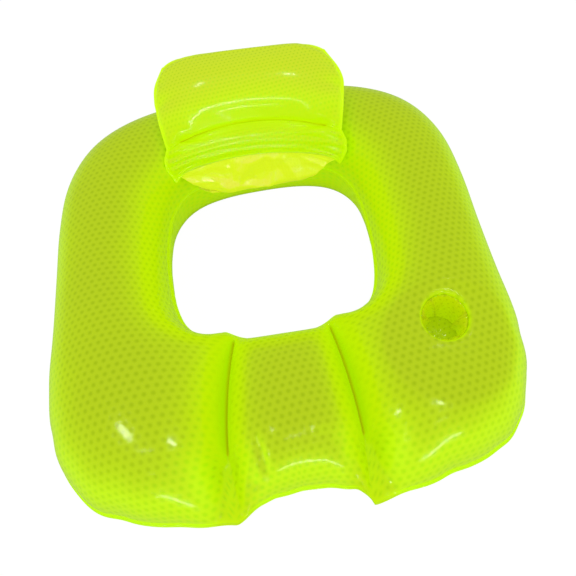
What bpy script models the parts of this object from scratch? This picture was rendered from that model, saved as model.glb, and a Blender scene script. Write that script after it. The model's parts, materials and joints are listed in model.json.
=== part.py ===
"""Inflatable water hammock: a ring-shaped lounge of welded PVC film with a leg-rest bridge at the front,
a cup well in the right arm, a two-lobed headrest on a film web at the back, and two push-in valves.
Metres, +Z up, the headrest at +Y, the cup well at +X. The origin is the middle of the footprint, on the
surface that the ring lies on. Inflated sheets get their height from the pressure of the air in them."""

import math

import bmesh
import bpy
import numpy as np
from mathutils import Matrix, Vector
from mathutils.bvhtree import BVHTree

# Film, welds and gaps
FILM = 0.0004
GAP = 0.0003
SEAM_FLANGE = 0.005
CUT_OVERRUN = 0.004
MERGE_DISTANCE = 0.00002

# Ring: the weld seams seen from above, each length measured from the line where the seat hole is widest
RING_HALF_WIDTH = 0.480
RING_BACK = 0.545
RING_FRONT = 0.494
HOLE_HALF_WIDTH = 0.233
HOLE_BACK = 0.300
HOLE_FRONT = 0.150
CREASE_INNER_X = 0.098
CREASE_BOW = 0.015
TIP_X = 0.122
BRIDGE_FRONT = 0.452

# Ring: what the air does to its two sheets
BOTTOM_DEPTH = 0.124
FLOOR_CUT = 0.0005

# Cup well
CUP_FROM_SEAM = 0.174
CUP_AHEAD = 0.216
CUP_MOUTH_RADIUS = 0.0425
CUP_FLOOR_RADIUS = 0.0370
CUP_DEPTH = 0.100
CUP_RIM = 0.0060
CUP_RIM_LIFT = 0.0012
CUP_FLOOR_THICKNESS = 0.0008

# Neck flap and headrest web
FOLD_HALF_WIDTH = 0.117
FOLD_REACH = 0.0145
NECK_SPREAD = 0.040
WEB_THICKNESS = 0.0007

# Headrest
HEAD_HALF_WIDTH = 0.218
ROLL_LENGTH = 0.105
PILLOW_LENGTH = 0.180
HEAD_STAND_OFF = 0.0235
HEAD_SWEEP = 0.024
HEAD_CORNER_DROP = 0.016
HEAD_BOW = 0.034
HEAD_REST_GAP = 0.0035

# Valves
VALVE_FLANGE_RADIUS = 0.0140
VALVE_FLANGE_THICKNESS = 0.0009
STEM_RADIUS = 0.0060
STEM_BORE_RADIUS = 0.0042
STEM_INSIDE = 0.0200
STEM_CLEARANCE = 0.0004
COLLAR_RADIUS = 0.0072
COLLAR_THICKNESS = 0.0022
PLUG_CAP_THICKNESS = 0.0020
PLUG_PIN_LENGTH = 0.0090
PLUG_CLEARANCE = 0.0003
FLAP_RADIUS = 0.0054
FLAP_THICKNESS = 0.0006
STRAP_RADIUS = 0.0006
STRAP_REACH = 0.0045
RING_VALVE_X = 0.028
RING_VALVE_FROM_SEAM = 0.034
HEAD_VALVE_X = 0.112
HEAD_VALVE_FROM_TOP = 0.062

# Mesh counts
STEPS_PER_STRETCH = 2
RING_COLUMNS = 7
HEAD_COLUMNS = 18
ROLL_ROWS = 8
PILLOW_ROWS = 12
CUP_SIDES = 40
VALVE_SIDES = 24
STRAP_STEPS = 3

# Right half of each seam from the back to the front: shares of the half width, and of the length behind
# (above zero) or in front of the hole's widest line. The two lists face each other across the tube.
OUTER_SHARES = [
    (0.000, 1.000), (0.250, 0.988), (0.590, 0.925), (0.845, 0.785), (0.972, 0.560), (1.000, 0.310),
    (0.993, 0.075), (0.982, -0.210), (0.976, -0.450), (0.925, -0.680), (0.780, -0.865), (0.530, -0.955),
]
INNER_SHARES = [
    (0.000, 1.000), (0.430, 0.987), (0.730, 0.910), (0.914, 0.717), (0.987, 0.467), (1.000, 0.233),
    (0.978, 0.010), (0.935, -0.330), (0.858, -0.610), (0.730, -0.800), (0.590, -0.887), (0.500, -0.915),
]
CREASE_START_SHARE = 0.925
BRIDGE_SHARES = [(0.620, 0.985), (0.000, 1.000)]
CREASE_WELD_SHARES = (0.04, 0.70)
CREASE_SPREAD_SHARE = 0.12
TOP_SWELL_SHARE = 1.02

# Half width of the headrest along each lobe: shares of the lobe's length and of the half width
ROLL_WIDTH_SHARES = [(0.00, 0.900), (0.28, 0.960), (0.60, 0.965), (1.00, 0.920)]
PILLOW_WIDTH_SHARES = [(0.00, 0.920), (0.25, 0.970), (0.50, 1.000), (0.80, 0.975), (1.00, 0.830)]
HEAD_SWELL_SHARE = 0.66
HEAD_CREASE_SHARE = 0.80
HEAD_TOP_BOW_SHARE = 0.30

hole_line = (RING_FRONT - RING_BACK) / 2
seam_height = BOTTOM_DEPTH + FILM + GAP / 2 - FLOOR_CUT
neck_height = seam_height + GAP / 2 + FILM + GAP
weld_clear = FILM + 2 * GAP

tube_radius = (RING_BACK - HOLE_BACK) / 2
tube_y = hole_line + (RING_BACK + HOLE_BACK) / 2
wrap_radius = tube_radius + HEAD_STAND_OFF
fold_y = tube_y - wrap_radius - FOLD_REACH
fold_height = neck_height + FILM
head_length = ROLL_LENGTH + PILLOW_LENGTH

cup_x = RING_HALF_WIDTH - CUP_FROM_SEAM
cup_y = hole_line - CUP_AHEAD


def clear_scene():
    for obj in list(bpy.data.objects):
        bpy.data.objects.remove(obj, do_unlink=True)


def new_collection(name):
    collection = bpy.data.collections.new(name)
    bpy.context.scene.collection.children.link(collection)
    return collection


def plastic(name, color, roughness):
    material = bpy.data.materials.new(name)
    material.use_nodes = True
    shader = material.node_tree.nodes["Principled BSDF"]
    shader.inputs["Base Color"].default_value = (*color, 1.0)
    shader.inputs["Roughness"].default_value = roughness
    shader.inputs["Metallic"].default_value = 0.0
    return material


def finish(obj, material, collection):
    """Moves a new object into its collection, with its material and smooth round faces."""
    for owner in list(obj.users_collection):
        owner.objects.unlink(obj)
    collection.objects.link(obj)
    obj.data.materials.append(material)
    if obj.type == "MESH":
        obj.data.shade_smooth()
        obj.data.set_sharp_from_angle(angle=math.radians(40))
    return obj


def film_sheet(name, lines, closed, flip, thickness, material, collection):
    """A thin wall lofted through lines of points. The points lie on one face of the wall, which grows on
    the side where going along a line and then to the next line turns anticlockwise, or on the other one
    if it is flipped. Its faces are split first, so that both sides of the wall are split alike."""
    count = len(lines[0])
    rows = len(lines)
    faces = []
    for i in range(rows if closed else rows - 1):
        for j in range(count - 1):
            a, b = i * count + j, ((i + 1) % rows) * count + j
            faces.append((a, b, b + 1, a + 1) if flip else (a, a + 1, b + 1, b))
    mesh = bpy.data.meshes.new(name)
    mesh.from_pydata([tuple(p) for line in lines for p in line], [], faces)
    shape = bmesh.new()
    shape.from_mesh(mesh)
    bmesh.ops.triangulate(shape, faces=shape.faces)
    shape.to_mesh(mesh)
    shape.free()
    obj = bpy.data.objects.new(name, mesh)
    bpy.context.scene.collection.objects.link(obj)
    wall = obj.modifiers.new("wall", "SOLIDIFY")
    wall.thickness = thickness
    wall.offset = 1.0
    return finish(obj, material, collection)


def cut_round_hole(obj, name, radius, low, high, place, sides, cutters):
    bpy.ops.mesh.primitive_cylinder_add(vertices=sides, radius=radius, depth=high - low)
    cutter = bpy.context.object
    cutter.name = name
    cutter.data.transform(Matrix.Translation((0, 0, (high + low) / 2)))
    cutter.matrix_world = place
    cutter.hide_render = True
    cutter.display_type = "WIRE"
    for owner in list(cutter.users_collection):
        owner.objects.unlink(cutter)
    cutters.objects.link(cutter)
    cut = obj.modifiers.new(name, "BOOLEAN")
    cut.operation = "DIFFERENCE"
    cut.object = cutter


def surface_of(obj):
    """The finished wall as a surface that rays can be cast on."""
    bpy.context.view_layer.update()
    return BVHTree.FromObject(obj, bpy.context.evaluated_depsgraph_get())


def smooth_through(points, before, after, steps):
    """Points on a smooth curve through the given ones, with steps to each stretch, the last one included."""
    ends = [before, *points, after]
    found = []
    for a, b, c, d in zip(ends, ends[1:], ends[2:], ends[3:]):
        for i in range(steps):
            t = i / steps
            square = (a * 2 - b * 5 + c * 4 - d) * t**2
            found.append((b * 2 + (c - a) * t + square + (b * 3 - a - c * 3 + d) * t**3) / 2)
    return found + [points[-1]]


def mirrored(p):
    return Vector((-p.x, p.y))


def seam_point(shares, half_width, back, front):
    across, along = shares
    return Vector((across * half_width, hole_line + along * (back if along > 0 else front)))


def ring_stations():
    """Both seams as closed rows of facing points, and the stations of the two creases."""
    outer = [seam_point(s, RING_HALF_WIDTH, RING_BACK, RING_FRONT) for s in OUTER_SHARES]
    tip = Vector((TIP_X, hole_line - RING_FRONT))
    bridge = [Vector((x * TIP_X, hole_line - y * BRIDGE_FRONT)) for x, y in BRIDGE_SHARES]
    beyond_tip = tip + (tip - outer[-1]) / 2
    before_tip = tip + (tip - bridge[0]) / 2
    half_outer = smooth_through([*outer, tip], mirrored(outer[1]), beyond_tip, STEPS_PER_STRETCH)
    half_outer += smooth_through([tip, *bridge], before_tip, mirrored(bridge[0]), STEPS_PER_STRETCH)[1:]
    inner = [seam_point(s, HOLE_HALF_WIDTH, HOLE_BACK, HOLE_FRONT) for s in INNER_SHARES]
    inner.append(Vector((CREASE_INNER_X, hole_line - CREASE_START_SHARE * HOLE_FRONT)))
    inner += [Vector((x * CREASE_INNER_X, hole_line - y * HOLE_FRONT)) for x, y in BRIDGE_SHARES]
    half_inner = smooth_through(inner, mirrored(inner[1]), mirrored(inner[-2]), STEPS_PER_STRETCH)
    crease = len(OUTER_SHARES) * STEPS_PER_STRETCH
    whole = 2 * (len(half_inner) - 1)
    rows = [half + [mirrored(p) for p in reversed(half[1:-1])] for half in (half_inner, half_outer)]
    return *rows, (crease, whole - crease)


def ring_plan():
    """Seam-plane points of each station from the hole outwards. Near a crease the stations bow with it."""
    inner, outer, creases = ring_stations()
    shares = [(1 - math.cos(math.pi * j / RING_COLUMNS)) / 2 for j in range(RING_COLUMNS + 1)]
    spread = CREASE_SPREAD_SHARE * len(inner)
    plan = []
    for i, (a, b) in enumerate(zip(inner, outer)):
        near = min(creases, key=lambda c: abs(c - i))
        pull = max(0.0, 1 - abs(near - i) / spread) * CREASE_BOW * (1 if near == creases[0] else -1)
        plan.append([a.lerp(b, u) + Vector((4 * u * (1 - u) * pull, 0)) for u in shares])
    return plan, shares, creases


def strip_triangles(rows, columns, closed):
    found = []
    for i in range(rows if closed else rows - 1):
        for j in range(columns - 1):
            a, b = i * columns + j, ((i + 1) % rows) * columns + j
            found += [(a, a + 1, b + 1), (a, b + 1, b)]
    return found


def swelling(points, triangles, held):
    """How far air pressure lifts a film over a flat outline: the square root of twice the deflection of a
    membrane under an even load, which is a half circle over a long strip. The held points are welded."""
    stiffness = np.zeros((len(points), len(points)))
    load = np.zeros(len(points))
    for corners in triangles:
        a, b, c = (points[i] for i in corners)
        area = abs((b[0] - a[0]) * (c[1] - a[1]) - (c[0] - a[0]) * (b[1] - a[1])) / 2
        edges = np.array([c - b, a - c, b - a])
        stiffness[np.ix_(corners, corners)] += edges @ edges.T / (4 * area)
        load[list(corners)] += area / 3
    free = [i for i in range(len(points)) if i not in held]
    deflection = np.zeros(len(points))
    deflection[free] = np.linalg.solve(stiffness[np.ix_(free, free)], load[free])
    return np.sqrt(2 * np.maximum(deflection, 0))


def ring_sheet(name, side, plan, heights, material, parts):
    """One sheet of the ring with its flat weld flanges. side is 1 for the top sheet and -1 for the other."""
    lines = []
    for row, lifts in zip(plan, heights):
        out = (row[-1] - row[0]).normalized() * SEAM_FLANGE
        stations = [row[0] - out, *row, row[-1] + out]
        lifts = [0, *lifts, 0]
        lines.append([(p.x, p.y, seam_height + side * (GAP / 2 + h)) for p, h in zip(stations, lifts)])
    return film_sheet(name, lines, True, side > 0, FILM, material, parts)


def make_ring(film, parts):
    plan, shares, creases = ring_plan()
    columns = len(shares)
    low, high = CREASE_WELD_SHARES
    held = {i * columns + j for i in range(len(plan)) for j in (0, columns - 1)}
    held |= {i * columns + j for i in creases for j, u in enumerate(shares) if low <= u <= high}
    flat = np.array([tuple(p) for row in plan for p in row])
    swell = swelling(flat, strip_triangles(len(plan), columns, True), held)
    filled = np.minimum((swell / BOTTOM_DEPTH) ** 2, 1)
    sunk = np.minimum(BOTTOM_DEPTH * np.sqrt(filled * (2 - filled)), BOTTOM_DEPTH - FLOOR_CUT)
    top = ring_sheet("ring_top_sheet", 1, plan, TOP_SWELL_SHARE * swell.reshape(-1, columns), film, parts)
    ring_sheet("ring_bottom_sheet", -1, plan, sunk.reshape(-1, columns), film, parts)
    return top, plan


def make_cup_well(film, top, top_surface, parts, cutters):
    """A tapered liner hangs from its rim, which is welded round the hole in the top sheet, and a disc
    closes its foot."""
    above = seam_height + RING_HALF_WIDTH
    place = Matrix.Translation((cup_x, cup_y, 0))
    cut_round_hole(top, "cup_hole", CUP_MOUTH_RADIUS, seam_height + GAP, above, place, CUP_SIDES, cutters)

    def on_film(radius, turn):
        start = Vector((cup_x + radius * math.cos(turn), cup_y + radius * math.sin(turn), above))
        return top_surface.ray_cast(start, Vector((0, 0, -1)))[0] + Vector((0, 0, CUP_RIM_LIFT))

    turns = [2 * math.pi * i / CUP_SIDES for i in range(CUP_SIDES)]
    mouth = CUP_MOUTH_RADIUS - GAP
    rim = [on_film(CUP_MOUTH_RADIUS + CUP_RIM, t) for t in turns]
    lip = [on_film(mouth, t) for t in turns]
    foot_height = min(p.z for p in lip) - CUP_DEPTH
    foot = [
        Vector((cup_x + CUP_FLOOR_RADIUS * math.cos(t), cup_y + CUP_FLOOR_RADIUS * math.sin(t), foot_height))
        for t in turns
    ]
    film_sheet("cup_liner", list(zip(rim, lip, foot)), True, True, FILM, film, parts)
    radius = CUP_FLOOR_RADIUS - FILM - GAP
    bpy.ops.mesh.primitive_cylinder_add(vertices=CUP_SIDES, radius=radius, depth=CUP_FLOOR_THICKNESS)
    floor = bpy.context.object
    floor.name = "cup_floor"
    floor.location = (cup_x, cup_y, foot_height + GAP + CUP_FLOOR_THICKNESS / 2)
    finish(floor, film, parts)


def make_neck_flap(film, plan, parts):
    """Flat film from the flange behind the seat hole to the straight line that the web folds on."""
    stations = []
    for row in plan:
        if row[0].y > hole_line and abs(row[0].x) <= FOLD_HALF_WIDTH + NECK_SPREAD:
            stations.append(row[0] - (row[-1] - row[0]).normalized() * weld_clear)
    stations.sort(key=lambda p: p.x)
    across = np.linspace(-FOLD_HALF_WIDTH, FOLD_HALF_WIDTH, len(stations))
    lines = [
        [(x, fold_y + GAP, neck_height), (p.x, p.y, neck_height)] for x, p in zip(across, stations)
    ]
    film_sheet("neck_flap", lines, False, True, FILM, film, parts)


def head_path(along):
    """The headrest's middle line: straight up the web, round the ring's back tube, then straight on.
    Gives y, z and the slope at this length past the roll's lower seam."""
    start = math.acos(wrap_radius / (tube_y - fold_y))
    turn = start + min(max(along, 0), ROLL_LENGTH) / wrap_radius
    slope = math.pi / 2 - turn
    rest = along - min(max(along, 0), ROLL_LENGTH)
    y = tube_y - wrap_radius * math.cos(turn) + rest * math.cos(slope)
    return y, fold_height + wrap_radius * math.sin(turn) + rest * math.sin(slope), slope


def head_point(x, along, lift=0.0):
    """A point of the headrest, this far across, along and off its middle. Its ends bow to the front."""
    y, z, slope = head_path(along)
    share = min(max(along / head_length, 0), 1)
    lift += HEAD_BOW * (1 + (HEAD_TOP_BOW_SHARE - 1) * share) * (x / HEAD_HALF_WIDTH) ** 2
    return Vector((x, y - math.sin(slope) * lift, z + math.cos(slope) * lift))


def head_normal(along):
    slope = head_path(along)[2]
    return Vector((0, -math.sin(slope), math.cos(slope)))


def head_plan():
    """(x, along) of the headrest's grid, laid flat, row by row from the roll's lower seam."""
    shares = [-math.cos(math.pi * i / HEAD_COLUMNS) for i in range(HEAD_COLUMNS + 1)]
    lobes = [
        (0.0, ROLL_LENGTH, ROLL_ROWS, ROLL_WIDTH_SHARES),
        (ROLL_LENGTH, PILLOW_LENGTH, PILLOW_ROWS, PILLOW_WIDTH_SHARES),
    ]
    plan = []
    for base, length, rows, widths in lobes:
        at, width = zip(*widths)
        for i in range(0 if base == 0 else 1, rows + 1):
            share = (1 - math.cos(math.pi * i / rows)) / 2
            along = base + share * length
            half = HEAD_HALF_WIDTH * float(np.interp(share, at, width))
            sweep = HEAD_SWEEP * min(along / ROLL_LENGTH, 1)
            drop = HEAD_CORNER_DROP * share**4 if base else 0
            plan.append([(half * a, along - sweep * a**2 - drop * a**4) for a in shares])
    return plan, shares


def make_headrest(film, ring_surface, parts):
    """Two sheets welded round their edge and along the crease between the lobes. The ring's back tube
    presses the back sheet flat where the headrest lies on it."""
    plan, shares = head_plan()
    columns, last = len(shares), len(plan) - 1
    held = {j * columns + i for j in range(last + 1) for i in (0, columns - 1)}
    held |= {j * columns + i for j in (0, last) for i in range(columns)}
    held |= {ROLL_ROWS * columns + i for i, a in enumerate(shares) if abs(a) <= HEAD_CREASE_SHARE}
    flat = np.array([p for row in plan for p in row])
    swell = HEAD_SWELL_SHARE * swelling(flat, strip_triangles(last + 1, columns, False), held)
    swell = swell.reshape(-1, columns)

    def lift_at(j, i, side):
        x, along = plan[j][i]
        if side > 0:
            return swell[j][i]
        hit = ring_surface.ray_cast(head_point(x, along), -head_normal(along))
        room = hit[3] - FILM - HEAD_REST_GAP if hit[0] else HEAD_HALF_WIDTH
        return min(swell[j][i], max(room, 0))

    sheets = []
    for name, side in (("headrest_front_sheet", 1), ("headrest_back_sheet", -1)):
        lines = []
        for j in range(-1, last + 2):
            line = []
            for i in range(-1, columns + 1):
                row, column = min(max(j, 0), last), min(max(i, 0), columns - 1)
                x, along = plan[row][column]
                inside = row == j and column == i
                lift = GAP / 2 + (lift_at(row, column, side) if inside else 0)
                x += SEAM_FLANGE * (i - column)
                line.append(head_point(x, along + SEAM_FLANGE * (j - row), side * lift))
            lines.append(line)
        sheets.append(film_sheet(name, lines, False, side < 0, FILM, film, parts))
    return sheets


def make_web(film, parts):
    """Film from the fold line to the headrest, lapped on the front of the flange under the roll."""
    lap = GAP / 2 + FILM + GAP
    foot_width = HEAD_HALF_WIDTH * ROLL_WIDTH_SHARES[0][1] - SEAM_FLANGE
    lines = []
    for a in np.linspace(-1, 1, HEAD_COLUMNS // 2 + 1):
        upper = [head_point(foot_width * a, along, lap) for along in (-weld_clear, -SEAM_FLANGE)]
        lines.append([*upper, Vector((FOLD_HALF_WIDTH * a, fold_y, fold_height))])
    film_sheet("headrest_web", lines, False, False, WEB_THICKNESS, film, parts)


def turned(name, profile, place, material, collection):
    """A closed profile of (radius, height) points turned about its own Z axis."""
    mesh = bpy.data.meshes.new(name)
    edges = [(i, i + 1) for i in range(len(profile) - 1)]
    if profile[0][0] > 0:
        edges.append((len(profile) - 1, 0))
    mesh.from_pydata([(r, 0, z) for r, z in profile], edges, [])
    obj = bpy.data.objects.new(name, mesh)
    bpy.context.scene.collection.objects.link(obj)
    screw = obj.modifiers.new("turn", "SCREW")
    screw.steps = VALVE_SIDES
    screw.render_steps = VALVE_SIDES
    screw.use_merge_vertices = True
    screw.merge_threshold = MERGE_DISTANCE
    obj.matrix_world = place
    return finish(obj, material, collection)


def make_strap(name, place, low, high, material, parts):
    """The tether that loops from the stem's collar to the plug's cap."""
    start = COLLAR_RADIUS + GAP
    route = [
        Vector((start, low)), Vector((start + STRAP_REACH / 2, low)),
        Vector((start + STRAP_REACH, (low + high) / 2)),
        Vector((start + STRAP_REACH / 2, high)), Vector((start, high)),
    ]
    curve = bpy.data.curves.new(name, "CURVE")
    curve.dimensions = "3D"
    curve.bevel_depth = STRAP_RADIUS
    curve.bevel_resolution = 1
    curve.use_fill_caps = True
    points = smooth_through(route, route[0], route[-1], STRAP_STEPS)
    spline = curve.splines.new("POLY")
    spline.points.add(len(points) - 1)
    for target, p in zip(spline.points, points):
        target.co = (p.x, 0, p.y, 1)
    obj = bpy.data.objects.new(name, curve)
    bpy.context.scene.collection.objects.link(obj)
    obj.matrix_world = place
    finish(obj, material, parts)


def make_valve(name, sheet, point, normal, vinyl, seal, parts, cutters):
    """A push-in valve, pushed home. Its own Z axis points out of the chamber, from the sheet's outer face,
    and its X axis points from the check flap's hinge to the strap."""
    z_axis = normal.normalized()
    x_axis = Vector((1, 0, 0))
    x_axis = (x_axis - z_axis * x_axis.dot(z_axis)).normalized()
    turn = Matrix((x_axis, z_axis.cross(x_axis), z_axis)).transposed().to_4x4()
    place = Matrix.Translation(point) @ turn
    bore = STEM_RADIUS + STEM_CLEARANCE
    cut_round_hole(sheet, f"{name}_hole", bore, -CUT_OVERRUN, CUT_OVERRUN, place, VALVE_SIDES, cutters)
    face = GAP + VALVE_FLANGE_THICKNESS
    turned(f"{name}_flange", [
        (bore, face), (VALVE_FLANGE_RADIUS, face), (VALVE_FLANGE_RADIUS, GAP), (bore, GAP),
    ], place, vinyl, parts)
    seat = face + GAP
    mouth = seat + COLLAR_THICKNESS
    turned(f"{name}_stem", [
        (STEM_BORE_RADIUS, mouth), (COLLAR_RADIUS, mouth), (COLLAR_RADIUS, seat),
        (STEM_RADIUS, seat), (STEM_RADIUS, -STEM_INSIDE), (STEM_BORE_RADIUS, -STEM_INSIDE),
    ], place, vinyl, parts)
    cap = mouth + GAP
    pin = STEM_BORE_RADIUS - PLUG_CLEARANCE
    turned(f"{name}_plug", [
        (0, cap + PLUG_CAP_THICKNESS), (COLLAR_RADIUS, cap + PLUG_CAP_THICKNESS), (COLLAR_RADIUS, cap),
        (pin, cap), (pin, cap - PLUG_PIN_LENGTH), (0, cap - PLUG_PIN_LENGTH),
    ], place, seal, parts)
    make_strap(
        f"{name}_strap", place, (seat + mouth) / 2, cap + PLUG_CAP_THICKNESS / 2, seal, parts
    )
    bpy.ops.mesh.primitive_cylinder_add(
        vertices=VALVE_SIDES, radius=FLAP_RADIUS, depth=FLAP_THICKNESS
    )
    flap = bpy.context.object
    flap.name = f"{name}_check_flap"
    flap.data.transform(Matrix.Translation((FLAP_RADIUS, 0, -FLAP_THICKNESS / 2)))
    flap.matrix_world = place @ Matrix.Translation((-FLAP_RADIUS, 0, -STEM_INSIDE - GAP))
    finish(flap, seal, parts)


def outer_face(surface, start, direction):
    """The point and the outward normal where a ray from outside meets the sheet."""
    point, normal = surface.ray_cast(start, direction)[:2]
    return point, -normal if normal.dot(direction) > 0 else normal


def main():
    clear_scene()
    parts = new_collection("inflatable_water_hammock")
    cutters = new_collection("cutters")
    lime = plastic("lime_film", (0.52, 0.83, 0.02), 0.28)
    pale = plastic("pale_film", (0.75, 0.95, 0.10), 0.25)
    vinyl = plastic("valve_vinyl", (0.70, 0.85, 0.25), 0.30)
    seal = plastic("plug_vinyl", (0.60, 0.78, 0.15), 0.35)

    top, plan = make_ring(lime, parts)
    top_surface = surface_of(top)
    make_cup_well(lime, top, top_surface, parts, cutters)
    make_neck_flap(pale, plan, parts)
    back_sheet = make_headrest(lime, top_surface, parts)[1]
    make_web(pale, parts)

    above = seam_height + RING_HALF_WIDTH
    start = Vector((RING_VALVE_X, hole_line + RING_BACK - RING_VALVE_FROM_SEAM, above))
    point, normal = outer_face(top_surface, start, Vector((0, 0, -1)))
    make_valve("ring_valve", top, point, normal, vinyl, seal, parts, cutters)
    along = head_length - HEAD_VALVE_FROM_TOP
    start = head_point(HEAD_VALVE_X, along, -HEAD_HALF_WIDTH)
    point, normal = outer_face(surface_of(back_sheet), start, head_normal(along))
    make_valve("headrest_valve", back_sheet, point, normal, vinyl, seal, parts, cutters)


main()
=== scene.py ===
"""The looks of the inflatable water hammock: a ring of welded lime PVC film with a leg-rest bridge, a cup
well in its right arm, a two-lobed headrest on a crumpled film web, and two push-in valves. Metres, +Z up,
the headrest at +Y and the cup well at +X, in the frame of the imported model."""

import json
import math
import random

import bmesh
import bpy
import numpy as np
from mathutils import Matrix, Vector
from mathutils.bvhtree import BVHTree


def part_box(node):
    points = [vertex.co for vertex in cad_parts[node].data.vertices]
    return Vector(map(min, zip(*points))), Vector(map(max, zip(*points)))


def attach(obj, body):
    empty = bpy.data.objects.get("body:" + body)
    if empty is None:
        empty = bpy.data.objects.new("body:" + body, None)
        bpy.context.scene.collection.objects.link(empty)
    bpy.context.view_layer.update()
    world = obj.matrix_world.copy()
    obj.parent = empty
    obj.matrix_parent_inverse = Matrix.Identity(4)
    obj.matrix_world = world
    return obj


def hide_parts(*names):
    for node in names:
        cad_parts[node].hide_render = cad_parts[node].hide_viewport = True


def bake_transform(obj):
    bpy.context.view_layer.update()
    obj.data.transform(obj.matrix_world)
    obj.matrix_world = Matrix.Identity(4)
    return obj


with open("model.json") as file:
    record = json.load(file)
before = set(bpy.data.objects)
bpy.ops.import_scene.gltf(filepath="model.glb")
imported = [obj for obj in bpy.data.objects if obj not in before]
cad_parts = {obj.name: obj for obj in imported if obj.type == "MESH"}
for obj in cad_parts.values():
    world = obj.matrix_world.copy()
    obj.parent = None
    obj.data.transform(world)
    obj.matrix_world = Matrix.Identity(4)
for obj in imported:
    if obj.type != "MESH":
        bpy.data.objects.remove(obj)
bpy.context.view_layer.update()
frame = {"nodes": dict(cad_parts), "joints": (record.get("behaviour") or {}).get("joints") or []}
joint_of = {joint["name"]: joint for joint in frame["joints"]}

# Camera: the hammock is photographed from in front and well above, with the camera rolled a little, so
# that the whole ring slants in the picture.
CAMERA_PLACE = (0.02412, -0.60879, 1.08342)
CAMERA_TILT = math.radians(29.62)
CAMERA_TURN = math.radians(-0.74)
CAMERA_ROLL = math.radians(-8.2)
CAMERA_LENS = 31.25
CAMERA_SENSOR = 36.0


def put_in(name, data):
    """A new object in the scene."""
    obj = bpy.data.objects.new(name, data)
    bpy.context.scene.collection.objects.link(obj)
    return obj


camera = put_in("camera", bpy.data.cameras.new("camera"))
camera.data.sensor_width = CAMERA_SENSOR
camera.data.lens = CAMERA_LENS
camera.matrix_world = (
    Matrix.Translation(CAMERA_PLACE)
    @ Matrix.Rotation(CAMERA_TURN, 4, "Z")
    @ Matrix.Rotation(CAMERA_TILT, 4, "X")
    @ Matrix.Rotation(CAMERA_ROLL, 4, "Z")
)
bpy.context.scene.camera = camera
bpy.context.scene.view_settings.view_transform = "Standard"


# Ring chamber: two sheets of 0.4 mm lime PVC, cut flat and welded together with heated bars round the
# outside, round the seat hole and along the two creases beside the bridge. Air lifts them into fat tubes.
FILM = 0.0004
GAP = 0.0003
SEAM_FLANGE = 0.005
RING_HALF_WIDTH = 0.480
RING_BACK = 0.545
RING_FRONT = 0.494
HOLE_HALF_WIDTH = 0.233
HOLE_BACK = 0.300
HOLE_FRONT = 0.150
CREASE_INNER_X = 0.098
CREASE_BOW = 0.015
LEFT_TIP_X = -0.127
RIGHT_TIP_X = 0.117
BRIDGE_FRONT = 0.454
FRONT_SKEW_SHARE = 0.010
BOTTOM_DEPTH = 0.124
FLOOR_CUT = 0.0005

# Seams from the back to the front, on either side: shares of the half width, and of the length behind
# (above zero) or in front of the line where the hole is widest.
OUTER_SHARES = [
    (0.000, 1.000), (0.250, 0.988), (0.590, 0.928), (0.852, 0.791), (0.980, 0.564), (1.003, 0.310),
    (0.993, 0.075), (0.982, -0.210), (0.980, -0.450), (0.931, -0.688), (0.786, -0.870), (0.530, -0.955),
]
INNER_SHARES = [
    (0.000, 1.006), (0.430, 0.996), (0.756, 0.933), (0.944, 0.738), (1.008, 0.472), (1.016, 0.233),
    (0.993, 0.010), (0.952, -0.335), (0.876, -0.625), (0.742, -0.820), (0.590, -0.897), (0.500, -0.915),
]
BRIDGE_SHARES = [(0.620, 0.985), (0.000, 1.000)]
NOTCH_SHARES = {-1: (0.550, 1.018), 1: (0.800, 1.030)}
CREASE_START_SHARE = 0.925
CREASE_WELD_SHARES = (0.04, 0.70)
CREASE_SPREAD_SHARE = 0.12
TOP_SWELL_SHARE = 1.02
ARM_BULGE = 0.014
ARM_BULGE_X = 0.124
ARM_BULGE_WIDTH = 0.022

RING_STEPS = 10
RING_COLUMNS = 36

hole_line = (RING_FRONT - RING_BACK) / 2
seam_height = BOTTOM_DEPTH + FILM + GAP / 2 - FLOOR_CUT


def smooth_through(points, before, after, steps):
    """Points on a smooth curve through the given ones, with steps to each stretch and the last point."""
    ends = [before, *points, after]
    found = []
    for a, b, c, d in zip(ends, ends[1:], ends[2:], ends[3:]):
        for i in range(steps):
            t = i / steps
            square = (a * 2 - b * 5 + c * 4 - d) * t**2
            found.append((b * 2 + (c - a) * t + square + (b * 3 - a - c * 3 + d) * t**3) / 2)
    return found + [points[-1]]


def seam_half(shares, half_width, back, front, side):
    """One side's seam points, of which the first lies on the middle line."""
    return [
        Vector((side * x * half_width, hole_line + y * (back if y > 0 else front))) for x, y in shares
    ]


def flipped(p):
    """The point on the other side of the middle line."""
    return Vector((-p.x, p.y))


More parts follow.
